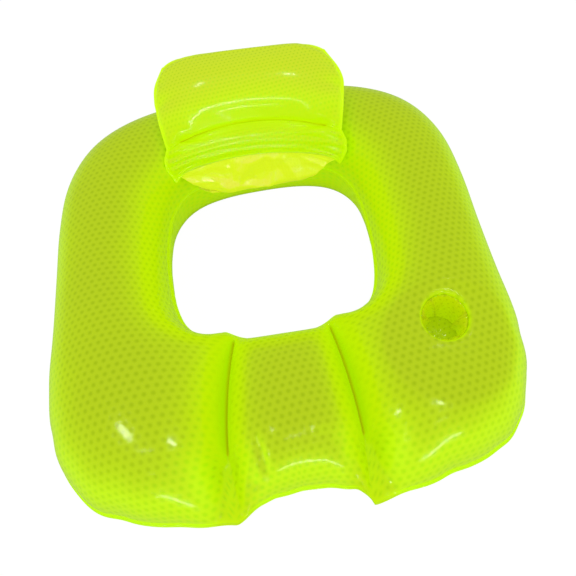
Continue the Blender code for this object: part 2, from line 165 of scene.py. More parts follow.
def ring_half(side, tip_x):
    """Facing points of the inner and the outer seam on one side, from the back to the bridge's middle."""
    front = RING_FRONT * (1 - side * FRONT_SKEW_SHARE)
    outer = seam_half(OUTER_SHARES, RING_HALF_WIDTH, RING_BACK, front, side)
    tip = Vector((tip_x, hole_line - RING_FRONT))
    bridge = [Vector((x * tip_x, hole_line - y * BRIDGE_FRONT)) for x, y in (NOTCH_SHARES[side], (0, 1))]
    beyond_tip = tip + (tip - outer[-1]) / 2
    before_tip = tip + (tip - bridge[0]) / 2
    outer_line = smooth_through([*outer, tip], flipped(outer[1]), beyond_tip, RING_STEPS)
    outer_line += smooth_through([tip, *bridge], before_tip, flipped(bridge[0]), RING_STEPS)[1:]
    inner = seam_half(INNER_SHARES, HOLE_HALF_WIDTH, HOLE_BACK, HOLE_FRONT, side)
    crease_start = side * CREASE_INNER_X
    inner.append(Vector((crease_start, hole_line - CREASE_START_SHARE * HOLE_FRONT)))
    inner += [Vector((x * crease_start, hole_line - y * HOLE_FRONT)) for x, y in BRIDGE_SHARES]
    inner_line = smooth_through(inner, flipped(inner[1]), flipped(inner[-2]), RING_STEPS)
    for p in inner_line:
        if p.y < hole_line:
            p.y += ARM_BULGE * math.exp(-(((abs(p.x) - ARM_BULGE_X) / ARM_BULGE_WIDTH) ** 2))
    return inner_line, outer_line


def ring_plan():
    """The ring laid flat, [station, column, xy], from the hole outwards. Near a crease the stations bow."""
    right, left = ring_half(1, RIGHT_TIP_X), ring_half(-1, LEFT_TIP_X)
    inner, outer = ([*r, *reversed(l[1:-1])] for r, l in zip(right, left))
    crease = len(OUTER_SHARES) * RING_STEPS
    creases = (crease, len(inner) - crease)
    shares = (1 - np.cos(np.pi * np.arange(RING_COLUMNS + 1) / RING_COLUMNS)) / 2
    spread = CREASE_SPREAD_SHARE * len(inner)
    plan = np.zeros((len(inner), len(shares), 2))
    for i, (a, b) in enumerate(zip(inner, outer)):
        near = min(creases, key=lambda c: abs(c - i))
        pull = max(0.0, 1 - abs(near - i) / spread) * CREASE_BOW * (1 if near == creases[0] else -1)
        plan[i] = np.outer(1 - shares, a) + np.outer(shares, b)
        plan[i, :, 0] += 4 * shares * (1 - shares) * pull
    return plan, shares, creases


def grid_quads(rows, columns, closed):
    """Faces of a grid of points, numbered row by row, that turn anticlockwise seen from outside a ring."""
    index = np.arange(rows * columns).reshape(rows, columns)
    this, following = (index, np.roll(index, -1, axis=0)) if closed else (index[:-1], index[1:])
    return np.stack([this[:, :-1], following[:, :-1], following[:, 1:], this[:, 1:]], 2).reshape(-1, 4)


def air_lift(plan, closed, held, ease):
    """How far air pressure lifts a film over a flat outline: the square root of twice the deflection of a
    membrane under an even load. Held points are welded, and ease draws the others down softly."""
    points, held, ease = plan.reshape(-1, 2), held.ravel(), ease.ravel()
    count = len(points)
    quads = grid_quads(*plan.shape[:2], closed)
    triangles = np.concatenate([quads[:, [0, 3, 2]], quads[:, [0, 2, 1]]])
    corners = points[triangles]
    double = np.abs(np.cross(corners[:, 1] - corners[:, 0], corners[:, 2] - corners[:, 0]))
    load = np.bincount(triangles.ravel(), np.repeat(double / 6, 3), count)
    start, end, pull = [], [], []
    for k in range(3):
        q, r = (k + 1) % 3, (k + 2) % 3
        facing = ((corners[:, q] - corners[:, k]) * (corners[:, r] - corners[:, k])).sum(1)
        start.append(triangles[:, q])
        end.append(triangles[:, r])
        pull.append(facing / double / 2)
    start, end, pull = (np.concatenate(x) for x in (start, end, pull))
    diagonal = np.bincount(start, pull, count) + np.bincount(end, pull, count) + ease

    def stretched(x):
        tension = pull * (x[start] - x[end])
        return np.bincount(start, tension, count) - np.bincount(end, tension, count) + ease * x

    deflection = np.zeros(count)
    rest = np.where(held, 0, load)
    step = rest / diagonal
    left = rest @ step
    goal = left * 1e-12
    while left > goal:
        drawn = np.where(held, 0, stretched(step))
        size = left / (step @ drawn)
        deflection += size * step
        rest = rest - size * drawn
        towards = rest / diagonal
        before, left = left, rest @ towards
        step = towards + left / before * step
    return np.sqrt(2 * np.maximum(deflection, 0)).reshape(plan.shape[:2])


# How the film gathers towards the tip past each crease weld, in puckers along the outer seam, and as it
# settles. Only the front corners are cut full enough to pucker.
FOLD_EASE = 60.0
FOLD_STATIONS = 3
PUCKER_DEPTH = 0.0055
PUCKER_REACH = 0.055
PUCKER_STATIONS = 7
PUCKER_SEED = 5
PUCKER_WIDTHS = (0.22, 0.42)
PUCKER_STRENGTHS = (0.35, 1.0)
PUCKER_SPACINGS = (0.7, 1.3)
SCALLOP_DEPTH = 0.0045
SCALLOP_HOLD = 6
BRIDGE_CREASE_WIDTH = 0.0045
BRIDGE_CREASES = [
    ((-0.066, -0.388), (-0.050, -0.470), 0.0090), ((-0.104, -0.452), (-0.060, -0.470), 0.0070),
    ((-0.094, -0.474), (-0.072, -0.440), 0.0060), ((0.040, -0.397), (0.104, -0.440), 0.0060),
]
HOLE_SHIFT = 0.0040
HOLE_STRETCH = 0.012
HOLE_SKEW = 0.016
FRONT_LEAN = 0.010
VALLEY_DEPTH = 0.62
VALLEY_WIDTH = 0.026
VALLEY_RUN_IN = 0.05
SLACK_LINE = -0.20
SLACK_FADE = 0.12
SLACK_REACH = 0.10
RING_GROWTH = 0.065
RING_PRESSURE = 6.0
RING_MOST_MOVE = 0.006
SETTLING_FRAMES = 16


def pucker_valleys(rows, spacing, seed):
    """A row of soft valleys round a closed seam, each of its own width, in shares of the full depth."""
    draw = random.Random(seed)
    valleys = np.zeros(rows)
    i = 0.0
    while i < rows:
        width = draw.uniform(*PUCKER_WIDTHS) * spacing
        strength = draw.uniform(*PUCKER_STRENGTHS)
        off = (np.arange(rows) - i + rows / 2) % rows - rows / 2
        valleys += strength * np.exp(-((off / width) ** 2))
        i += draw.uniform(*PUCKER_SPACINGS) * spacing
    return valleys


def settled_in_air(film_rows, closed, held, slack, growth, pressure, most_move):
    """Lets a chamber's two films settle as cloth under air pressure, a little larger than their outline
    where slack is above zero, so that they gather at the welds. Held points stay, and no other point moves
    further than most_move."""
    points = np.concatenate([film_rows[side].reshape(-1, 3) for side in (1, -1)])
    quads = grid_quads(*held.shape, closed)
    slack = np.tile(slack.ravel(), 2)
    mesh = bpy.data.meshes.new("settling")
    mesh.from_pydata(points.tolist(), [], np.concatenate([quads, quads[:, ::-1] + held.size]).tolist())
    obj = put_in("settling", mesh)
    welded = [int(i) for i in np.flatnonzero(np.tile(held.ravel(), 2))]
    obj.vertex_groups.new(name="welded").add(welded, 1.0, "REPLACE")
    loose = obj.vertex_groups.new(name="loose")
    for i in np.flatnonzero(slack > 0):
        loose.add([int(i)], float(slack[i]), "REPLACE")
    cloth = obj.modifiers.new("air", "CLOTH")
    cloth.collision_settings.use_collision = False
    film = cloth.settings
    film.quality = 4
    film.mass = 0.05
    film.tension_stiffness = film.compression_stiffness = 30
    film.shear_stiffness = 15
    film.bending_stiffness = 0.5
    film.use_pressure = True
    film.uniform_pressure_force = pressure
    film.effector_weights.gravity = 0
    film.vertex_group_mass = "welded"
    film.vertex_group_shrink = "loose"
    film.shrink_min = 0.0
    film.shrink_max = -growth
    cloth.point_cache.frame_start, cloth.point_cache.frame_end = 1, SETTLING_FRAMES
    scene = bpy.context.scene
    for step in range(1, SETTLING_FRAMES + 1):
        scene.frame_set(step)
    settled = obj.evaluated_get(bpy.context.evaluated_depsgraph_get()).data
    found = np.zeros(points.size, np.float32)
    settled.vertices.foreach_get("co", found)
    bpy.data.objects.remove(obj)
    scene.frame_set(1)
    move = found.reshape(-1, 3) - points
    size = np.linalg.norm(move, axis=1, keepdims=True)
    points = points + move * np.minimum(1, most_move / np.maximum(size, 1e-9))
    film_rows[1], film_rows[-1] = points.reshape(2, *held.shape, 3)


def run_length(rows):
    """How far each point of each row is from the row's start, along the row."""
    steps = np.linalg.norm(np.diff(rows, axis=1), axis=2)
    return np.concatenate([np.zeros((len(rows), 1)), np.cumsum(steps, axis=1)], axis=1)


def film_object(name, rows, closed, flip, flat, marks, sharp=()):
    """A film as an open mesh. flat is where each point lay on the cut sheet, marks are values that its
    material reads, and sharp lists the pairs of grid points with a weld edge between them."""
    quads = grid_quads(*rows.shape[:2], closed)
    mesh = bpy.data.meshes.new(name)
    mesh.from_pydata(rows.reshape(-1, 3).tolist(), [], (quads[:, ::-1] if flip else quads).tolist())
    mesh.update()
    corners = np.zeros(len(mesh.loops), np.int32)
    mesh.loops.foreach_get("vertex_index", corners)
    layer = mesh.uv_layers.new(name="flat_cut")
    layer.data.foreach_set("uv", flat.reshape(-1, 2)[corners].astype(np.float32).ravel())
    for mark, values in marks.items():
        values = np.broadcast_to(values, rows.shape[:2]).astype(np.float32)
        mesh.attributes.new(mark, "FLOAT", "POINT").data.foreach_set("value", values.ravel())
    if sharp:
        pairs = np.zeros(len(mesh.edges) * 2, np.int32)
        mesh.edges.foreach_get("vertices", pairs)
        creased = [float(tuple(sorted(pair)) in sharp) for pair in pairs.reshape(-1, 2).tolist()]
        mesh.attributes.new("crease_edge", "FLOAT", "EDGE").data.foreach_set("value", creased)
    return put_in(name, mesh)


def made_plain(obj):
    """Applies the modifiers: the evaluated mesh takes the place of the object's own."""
    graph = bpy.context.evaluated_depsgraph_get()
    plain = bpy.data.meshes.new_from_object(
        obj.evaluated_get(graph), preserve_all_data_layers=True, depsgraph=graph
    )
    plain.name = obj.name
    obj.modifiers.clear()
    obj.data = plain
    plain.shade_smooth()
    return obj


def smoothed(obj, levels):
    """Rounds a film between its grid points, apart from its creased weld edges."""
    smooth = obj.modifiers.new("smooth", "SUBSURF")
    smooth.levels = smooth.render_levels = levels
    return made_plain(obj)


def with_wall(obj, thickness):
    """Gives a film its thickness, and marks on each point how far it faces up."""
    wall = obj.modifiers.new("wall", "SOLIDIFY")
    wall.thickness = thickness
    wall.offset = 1.0
    made_plain(obj)
    normals = np.zeros(len(obj.data.vertices) * 3, np.float32)
    obj.data.vertices.foreach_get("normal", normals)
    crown = obj.data.attributes.new("crown", "FLOAT", "POINT")
    crown.data.foreach_set("value", normals.reshape(-1, 3)[:, 2].copy())
    return obj


ring_points, ring_shares, ring_creases = ring_plan()
ring_rows, ring_columns = ring_points.shape[:2]
seat_x, seat_y = ring_points[:, 0].T
seat_middle = (seat_y.min() + seat_y.max()) / 2
hole_drift = np.stack([
    np.full(ring_rows, HOLE_SHIFT),
    HOLE_STRETCH * (seat_y - seat_middle) + HOLE_SKEW * seat_x * (seat_y > seat_middle),
], axis=1)
ring_points += hole_drift[:, None] * ((1 - ring_shares) ** 2)[None, :, None]
ring_points[:, :, 0] -= FRONT_LEAN * np.minimum(ring_points[:, :, 1], 0) * ring_shares[None]
front_share = np.clip((SLACK_LINE - ring_points[:, -1:, 1]) / SLACK_FADE, 0, 1)
ring_valleys = pucker_valleys(ring_rows, PUCKER_STATIONS, PUCKER_SEED)[:, None] * front_share
toward_hole = ring_points[:, :1] - ring_points[:, -1:]
toward_hole /= np.linalg.norm(toward_hole, axis=2, keepdims=True)
scallops = SCALLOP_DEPTH * ring_valleys * (ring_shares**SCALLOP_HOLD)[None]
ring_points += scallops[:, :, None] * toward_hole
ring_held = np.zeros((ring_rows, ring_columns), bool)
ring_held[:, [0, -1]] = True
ring_ease = np.zeros((ring_rows, ring_columns))
weld_low, weld_high = CREASE_WELD_SHARES
for crease in ring_creases:
    ring_held[crease] |= (ring_shares >= weld_low) & (ring_shares <= weld_high)
    for i in range(crease - FOLD_STATIONS, crease + FOLD_STATIONS + 1):
        near = 1 - abs(i - crease) / (FOLD_STATIONS + 1)
        ring_ease[i] += FOLD_EASE * near**2 * (ring_shares > weld_high)
ring_lift = air_lift(ring_points, True, ring_held, ring_ease)
for crease in ring_creases:
    from_line = np.linalg.norm(ring_points - ring_points[crease], axis=2)
    past_weld = np.clip((ring_shares - weld_high) / VALLEY_RUN_IN, 0, 1)
    ring_lift *= 1 - VALLEY_DEPTH * past_weld * np.exp(-from_line / VALLEY_WIDTH)
filled = np.minimum((ring_lift / BOTTOM_DEPTH) ** 2, 1)
ring_sink = np.minimum(BOTTOM_DEPTH * np.sqrt(filled * (2 - filled)), BOTTOM_DEPTH - FLOOR_CUT)

ring_inward = np.linalg.norm(ring_points[:, -1:] - ring_points, axis=2)
puckers = PUCKER_DEPTH * ring_valleys * np.exp(-((ring_inward / PUCKER_REACH) ** 2))
short_creases = np.zeros(ring_lift.shape)
for start, end, depth in BRIDGE_CREASES:
    run = np.array(end) - np.array(start)
    reached = np.clip(((ring_points - start) @ run) / (run @ run), 0, 1)
    away = np.linalg.norm(ring_points - start - reached[:, :, None] * run, axis=2)
    depth = depth * np.sin(math.pi * reached) ** 0.5
    short_creases += depth * np.exp(-((away / BRIDGE_CREASE_WIDTH) ** 2))
ring_film_rows = {}
for side, lift in ((1, TOP_SWELL_SHARE * ring_lift - short_creases), (-1, ring_sink)):
    heights = seam_height + side * (GAP / 2 + np.maximum(lift - puckers, 0))
    ring_film_rows[side] = np.concatenate([ring_points, heights[:, :, None]], axis=2)
ring_slack = front_share * np.exp(-((ring_inward / SLACK_REACH) ** 2))
settled_in_air(ring_film_rows, True, ring_held, ring_slack, RING_GROWTH, RING_PRESSURE, RING_MOST_MOVE)
for rows in ring_film_rows.values():
    rows[:, :, 2] = np.maximum(rows[:, :, 2], FILM)


# Mouth of the cup well: the film sinks towards a round hole in the right arm, further in front of it than
# behind, and turns down into it. The cup's liner is welded to the edge of this hole.
CUP_FROM_SEAM = 0.174
CUP_AHEAD = 0.216
CUP_MOUTH_RADIUS = 0.0425
DIMPLE_DEPTH_FRONT = 0.028
DIMPLE_DEPTH_BACK = 0.009
DIMPLE_FRONT = 0.120
DIMPLE_BACK = 0.026
MOUTH_ROUND = 0.012
FINE_FILM_RADIUS = 0.075
FINE_FILM_CUTS = 3
RIM_SEARCH = 1.2

cup_x = RING_HALF_WIDTH - CUP_FROM_SEAM
cup_y = hole_line - CUP_AHEAD


def well_sink(points):
    """How much lower the film lies round the cup well than it would without it."""
    x, y = points[..., 0] - cup_x, points[..., 1] - cup_y
    away = np.hypot(x, y)
    toward_front = (1 - y / np.maximum(away, 1e-6)) / 2
    reach = DIMPLE_BACK + (DIMPLE_FRONT - DIMPLE_BACK) * toward_front
    depth = DIMPLE_DEPTH_BACK + (DIMPLE_DEPTH_FRONT - DIMPLE_DEPTH_BACK) * toward_front
    share = np.clip(1 - (away - CUP_MOUTH_RADIUS) / reach, 0, 1)
    turn = np.clip(1 - (away - CUP_MOUTH_RADIUS) / MOUTH_ROUND, 0, 1)
    return depth * share**1.5 * (2.5 - 1.5 * share) + MOUTH_ROUND * (1 - np.sqrt(1 - turn**2))


# Seats of the valves: each valve's moulded flange is stiffer than the film that it is welded to, so it
# holds the film flat round itself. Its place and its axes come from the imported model.
VALVE_FLANGE_RADIUS = 0.0140
VALVE_FLAT_FADE = 0.040


def valve_place(name):
    """The turn and place of a valve, whose own Z axis leads out of the film and X from the check flap's
    hinge to the strap, then the middle of its seat and its way out."""
    out = Vector(joint_of[f"{name}_pull_out"]["axis"])
    across = Vector(joint_of[f"{name}_flap_swing"]["axis"])
    rim = [v.co for v in frame["nodes"][f"{name}_flange"].data.vertices]
    middle = sum(rim, Vector()) / len(rim)
    seat = min(v.dot(out) for v in rim) - GAP
    middle += out * (seat - middle.dot(out))
    turn = Matrix((across.cross(out), across, out)).transposed().to_4x4()
    return Matrix.Translation(middle) @ turn, middle, out


def flat_at_valve(points, valve):
    """Points of a film drawn onto one plane round a valve, as far as its flange holds the film flat."""
    _, middle, way_out = valve
    out = np.array(way_out)
    off = points - np.array(middle - way_out * FILM)
    height = off @ out
    aside = np.linalg.norm(off - height[..., None] * out, axis=-1)
    share = np.clip((VALVE_FLAT_FADE - aside) / (VALVE_FLAT_FADE - VALVE_FLANGE_RADIUS), 0, 1)
    share = share * share * (3 - 2 * share) * (np.abs(height) < VALVE_FLAT_FADE)
    return points - (share * height)[..., None] * out


ring_valve = valve_place("ring_valve")
ring_film_rows[1] = flat_at_valve(ring_film_rows[1], ring_valve)


# Sheets of the ring: each has a level weld flange along its edges. The film is dyed neon lime, glossy, and
# printed with small darker dots. Its material paints light and shade on it: a duller lime where it faces
# up, a fuller and brighter one on its sides and outer edges, painted shade where other film is near, and a
# painted glow in its own colour, stronger on its sides, at its seams and below.
def add_flanges(rows, width):
    """The rows with a level flange added past each end."""
    out = rows[:, -1] - rows[:, 0]
    out = width * out / np.linalg.norm(out, axis=1, keepdims=True)
    return np.concatenate([rows[:, :1] - out[:, None], rows, rows[:, -1:] + out[:, None]], axis=1)


def edge_pairs(line):
    """The pairs of neighbouring grid points along a line, each with the lower number first."""
    return {tuple(sorted((int(a), int(b)))) for a, b in zip(line, line[1:])}


def ring_film(name, side):
    """One of the ring's two sheets, with its marks of how far each point is from seams, welds and folds."""
    rows = add_flanges(ring_film_rows[side], SEAM_FLANGE)
    plan = add_flanges(ring_points, SEAM_FLANGE)
    along = run_length(rows)
    middle = rows.shape[1] // 2
    ways = plan[:, -1] - plan[:, 0]
    ways /= np.linalg.norm(ways, axis=1, keepdims=True)
    flat = plan[:, middle, None] + ways[:, None] * (along - along[:, middle, None])[:, :, None]
    index = np.arange(along.size).reshape(along.shape)
    sharp = edge_pairs([*index[:, 1], index[0, 1]]) | edge_pairs([*index[:, -2], index[0, -2]])
    marks = {
        "from_seam": np.minimum(along, along[:, -1:] - along),
        "across": along / along[:, -1:],
        "from_weld": 1.0,
        "from_fold": 1.0,
    }
    for crease in ring_creases:
        welded = np.flatnonzero(ring_held[crease][1:-1]) + 2
        sharp |= edge_pairs(index[crease, welded])
        for mark, line in (("from_weld", rows[crease, welded]), ("from_fold", rows[crease, welded[0]:-1])):
            off = np.linalg.norm(rows[:, :, None, :2] - line[None, None, :, :2], axis=3).min(axis=2)
            marks[mark] = np.minimum(marks[mark], off)
    return film_object(name, rows, True, side < 0, flat, marks, sharp)


def feed(sockets, values):
    """Sets each socket to its value, or links it to the socket given for it. None leaves it as it is."""
    for socket, value in zip(sockets, values):
        if isinstance(value, bpy.types.NodeSocket):
            socket.id_data.links.new(value, socket)
        elif value is not None:
            socket.default_value = value


def feed_named(node, values):
    """Feeds a node's inputs by their names."""
    feed([node.inputs[name] for name in values], values.values())


def wire(tree, kind, *values, **settings):
    """The first output of a new node with these settings, whose first inputs are fed with the values."""
    made = tree.nodes.new(kind)
    for key, value in settings.items():
        setattr(made, key, value)
    feed(made.inputs, values)
    return made.outputs[0]


def sum_of(tree, operation, *values):
    return wire(tree, "ShaderNodeMath", *values, operation=operation)


def product(tree, first, *others):
    """All the given values multiplied together."""
    for other in others:
        first = sum_of(tree, "MULTIPLY", first, other)
    return first


def read_mark(tree, name):
    """A value that the film's own points carry."""
    return wire(tree, "ShaderNodeAttribute", attribute_name=name).node.outputs["Fac"]


def eased(tree, value, low, high):
    """0 below low and 1 above high, with soft ends."""
    return wire(tree, "ShaderNodeMapRange", value, low, high, interpolation_type="SMOOTHSTEP")


def mixed(tree, share, a, b, way="MIX"):
    """A colour between a and b, or their product, each a colour or a socket."""
    made = tree.nodes.new("ShaderNodeMix")
    made.data_type = "RGBA"
    made.blend_type = way
    feed([made.inputs[0], *made.inputs[6:8]], (share, a, b))
    return made.outputs[2]


def noise_of(tree, scale):
    """Soft noise on the object's own coordinates."""
    place = tree.nodes.new("ShaderNodeTexCoord").outputs["Object"]
    noise = wire(tree, "ShaderNodeTexNoise", place)
    noise.node.inputs["Scale"].default_value = scale
    return noise


def relief_of(tree, height, strength, depth):
    """The normal of a surface with this fine relief."""
    bump = tree.nodes.new("ShaderNodeBump")
    feed_named(bump, {"Strength": strength, "Distance": depth, "Height": height})
    return bump.outputs["Normal"]


def new_paint(name):
    """A new material, with its tree and its shader."""
    material = bpy.data.materials.new(name)
    material.use_nodes = True
    return material, material.node_tree, material.node_tree.nodes["Principled BSDF"]


def paint(red, green, blue):
    """A colour as it is seen on a screen, from 0 to 255, in the shader's linear terms."""
    seen = [c / 255 for c in (red, green, blue)]
    return (*[c / 12.92 if c <= 0.04045 else ((c + 0.055) / 1.055) ** 2.4 for c in seen], 1.0)


# Painted light and shade: the film gets a duller lime where it faces up and a fuller, brighter lime on its
# sides and outer edges, as lit copies of one colour. The levels, turns and shifts below say where each
# lies. The weld colour is the darker line of the welds themselves.
LIME_TOP_PAINTED_LIGHT = paint(194, 222, 29)
LIME_SIDE_PAINTED_LIGHT = paint(196, 234, 3)
LIME_OUTER_PAINTED_LIGHT = paint(206, 255, 24)
LIME_WELD = paint(196, 214, 0)
CROWN_LEVEL = (0.48, 0.90)
CLOUD_SCALE = 7.0
CLOUD_DRIFT = 0.12
FLANK_TURN = (0.45, 0.60)
OUTERMOST = (0.55, 0.85)
OUTER_PAST_FOLD = (0.010, 0.060)
CROWN_PAST_FOLD = (0.008, 0.060)
OUTER_FLANK_SHIFT = 0.14
INNER_FLANK_SHIFT = 0.12
# The dots are print. Their tint changes from top to sides with the same painted light as the film's ground.
CROWN_DOT_SHADE = (0.80, 0.84, 0.48, 1.0)
SIDE_DOT_SHADE = (0.84, 0.87, 0.45, 1.0)
DOT_PITCH = 0.0151
DOT_RADIUS = 0.0036
DOT_SOFT = 0.0030
DOT_ROW_TURN = math.radians(-7.0)
DOT_RELIEF = 0.0005
DOTS_BELOW = 0.75
DOTS_TURN_DOWN = (-0.25, 0.15)
DOTS_PAST_WELD = 0.040
WELD_LINE = (0.0010, 0.0048)
# Painted shade: the film's colour is darkened where ambient occlusion finds other film near, in the
# creases, along the folds and under the headrest, but not right at a fold or a seam.
PAINTED_SHADE_REACH = 0.085
PAINTED_SHADE_SAMPLES = 6
PAINTED_SHADE_TINT = (0.68, 0.67, 0.42, 1.0)
PAINTED_SHADE_LEVEL = (0.15, 0.80)
PAINTED_SHADE_PAST_FOLD = (-0.030, 0.045)
PAINTED_SHADE_PAST_SEAM = (2 * SEAM_FLANGE, 0.030)
# Painted glow: emission in the film's own colour stands in for light carried through the translucent film.
# It is stronger on its sides, at its seams and on its underside.
FILM_PAINTED_GLOW = 0.22
SIDE_PAINTED_GLOW = 0.15
SEAM_PAINTED_GLOW = 0.08
UNDERSIDE_PAINTED_GLOW = 0.08
UNDERSIDE = (-0.30, 0.25)
GRAIN_SCALE = 420.0
GRAIN_SHARE = 0.12
RELIEF_STRENGTH = 0.5
FILM_ROUGHNESS = 0.26
WEAR_SHARE = 0.14
FILM_SPECULAR = 0.10
FILM_COAT = 0.26
FILM_COAT_ROUGHNESS = 0.09
GLOSS_TINT = (0.92, 1.0, 0.55, 1.0)
BLACK = (0.0, 0.0, 0.0, 1.0)


def dot_lattice(tree, pitch, radius):
    """Dots in rows a little apart, every second row set over by half a pitch, on the flat cut."""
    cell = (pitch, pitch * math.sqrt(3), 1.0)
    cut = wire(tree, "ShaderNodeUVMap", uv_map="flat_cut")
    rows = wire(tree, "ShaderNodeMapping", cut)
    rows.node.inputs["Rotation"].default_value = (0, 0, DOT_ROW_TURN)
    counted = wire(tree, "ShaderNodeVectorMath", rows, cell, operation="DIVIDE")
    nearest = []
    for shift in ((0.0, 0.0, 0.0), (0.5, 0.5, 0.0)):
        moved = wire(tree, "ShaderNodeVectorMath", counted, shift, operation="ADD")
        part = wire(tree, "ShaderNodeVectorMath", moved, operation="FRACTION")
        centred = wire(tree, "ShaderNodeVectorMath", part, (0.5, 0.5, 0.0), operation="SUBTRACT")
        sized = wire(tree, "ShaderNodeVectorMath", centred, (*cell[:2], 0.0), operation="MULTIPLY")
        length = wire(tree, "ShaderNodeVectorMath", sized, operation="LENGTH")
        nearest.append(length.node.outputs["Value"])
    away = sum_of(tree, "MINIMUM", *nearest)
    soft = DOT_SOFT / DOT_RADIUS * radius
    return sum_of(tree, "SUBTRACT", 1.0, eased(tree, away, radius - soft, radius + soft))


def film_paint(
    name, crown, side, outer, weld, pitch, radius, level=CROWN_LEVEL, own_painted_glow=FILM_PAINTED_GLOW, painted_shade_share=1.0
):
    """Glossy neon film printed with small darker dots, with painted light and shade: a duller lime where it
    faces up, a fuller one on its sides, painted shade where other film is near, and a painted glow that is
    stronger on its sides, at its seams and below."""
    material, tree, shader = new_paint(name)
    cloud = noise_of(tree, CLOUD_SCALE)
    drift = sum_of(tree, "MULTIPLY_ADD", cloud, CLOUD_DRIFT, -CLOUD_DRIFT / 2)
    facing = read_mark(tree, "crown")
    across = read_mark(tree, "across")
    from_seam = read_mark(tree, "from_seam")
    from_weld = read_mark(tree, "from_weld")
    from_fold = read_mark(tree, "from_fold")
    # Painted light: how far the film faces up, shifted on its inner and outer flanks, decides between its
    # duller top colour and its fuller side colours.
    up = sum_of(tree, "ADD", facing, drift)
    outward = eased(tree, across, *FLANK_TURN)
    outermost = product(tree, eased(tree, across, *OUTERMOST), eased(tree, from_fold, *OUTER_PAST_FOLD))
    flank = mixed(tree, outermost, side, outer)
    flank_shift = INNER_FLANK_SHIFT - OUTER_FLANK_SHIFT
    inward = sum_of(tree, "MULTIPLY_ADD", outward, flank_shift, -INNER_FLANK_SHIFT)
    facing_up = eased(tree, sum_of(tree, "ADD", up, inward), *level)
    open_film = eased(tree, from_seam, SEAM_FLANGE, 3 * SEAM_FLANGE)
    facing_up = product(tree, facing_up, open_film, eased(tree, from_fold, *CROWN_PAST_FOLD))
    ground = mixed(tree, facing_up, flank, crown)
    upper = eased(tree, up, *DOTS_TURN_DOWN)
    upper = sum_of(tree, "MULTIPLY_ADD", upper, 1 - DOTS_BELOW, DOTS_BELOW)
    past_weld = eased(tree, from_weld, 0.0, DOTS_PAST_WELD)
    dots = product(tree, dot_lattice(tree, pitch, radius), open_film, upper, past_weld)
    shade = mixed(tree, facing_up, SIDE_DOT_SHADE, CROWN_DOT_SHADE)
    printed = mixed(tree, dots, ground, mixed(tree, 1.0, ground, shade, "MULTIPLY"))
    near_weld = sum_of(tree, "SUBTRACT", 1.0, eased(tree, from_weld, *WELD_LINE))
    film_color = mixed(tree, near_weld, printed, weld)
    # Painted shade from ambient occlusion: the colour darkens where other film is near.
    occlusion_probe = tree.nodes.new("ShaderNodeAmbientOcclusion")
    occlusion_probe.samples = PAINTED_SHADE_SAMPLES
    occlusion_probe.inputs["Distance"].default_value = PAINTED_SHADE_REACH
    painted_shade = eased(tree, occlusion_probe.outputs["AO"], *PAINTED_SHADE_LEVEL)
    painted_shade = product(
        tree, sum_of(tree, "MULTIPLY_ADD", painted_shade, -painted_shade_share, painted_shade_share),
        eased(tree, from_fold, *PAINTED_SHADE_PAST_FOLD), eased(tree, from_seam, *PAINTED_SHADE_PAST_SEAM),
    )
    shaded_color = mixed(tree, 1.0, film_color, PAINTED_SHADE_TINT, "MULTIPLY")
    film_color = mixed(tree, painted_shade, film_color, shaded_color)
    # Painted glow, stronger on the sides, at the seams and underneath, given out as emission in the film's
    # colour.
    glow = sum_of(tree, "MULTIPLY_ADD", facing_up, -SIDE_PAINTED_GLOW, own_painted_glow + SIDE_PAINTED_GLOW)
    seam = sum_of(tree, "SUBTRACT", 1.0, eased(tree, from_seam, 0.5 * SEAM_FLANGE, 2 * SEAM_FLANGE))
    glow = sum_of(tree, "MULTIPLY_ADD", seam, SEAM_PAINTED_GLOW, glow)
    below = sum_of(tree, "SUBTRACT", 1.0, eased(tree, facing, *UNDERSIDE))
    glow = sum_of(tree, "MULTIPLY_ADD", below, UNDERSIDE_PAINTED_GLOW, glow)
    grain = sum_of(tree, "MULTIPLY", noise_of(tree, GRAIN_SCALE), GRAIN_SHARE)
    relief = sum_of(tree, "MULTIPLY_ADD", dots, -1.0, grain)
    feed_named(shader, {
        "Base Color": film_color,
        "Emission Color": mixed(tree, sum_of(tree, "SUBTRACT", 1.0, glow), film_color, BLACK),
        "Emission Strength": 1.0,
        "Normal": relief_of(tree, relief, RELIEF_STRENGTH, DOT_RELIEF),
        "Roughness": sum_of(tree, "MULTIPLY_ADD", cloud, WEAR_SHARE, FILM_ROUGHNESS - WEAR_SHARE / 2),
        "Specular IOR Level": FILM_SPECULAR,
        "Specular Tint": GLOSS_TINT,
        "Coat Weight": FILM_COAT,
        "Coat Roughness": FILM_COAT_ROUGHNESS,
    })
    return material


lime_film = film_paint("lime_film", LIME_TOP_PAINTED_LIGHT, LIME_SIDE_PAINTED_LIGHT, LIME_OUTER_PAINTED_LIGHT, LIME_WELD, DOT_PITCH, DOT_RADIUS)

ring_top = smoothed(ring_film("ring_top_film", 1), 1)
ring_bottom = smoothed(ring_film("ring_bottom_film", -1), 1)


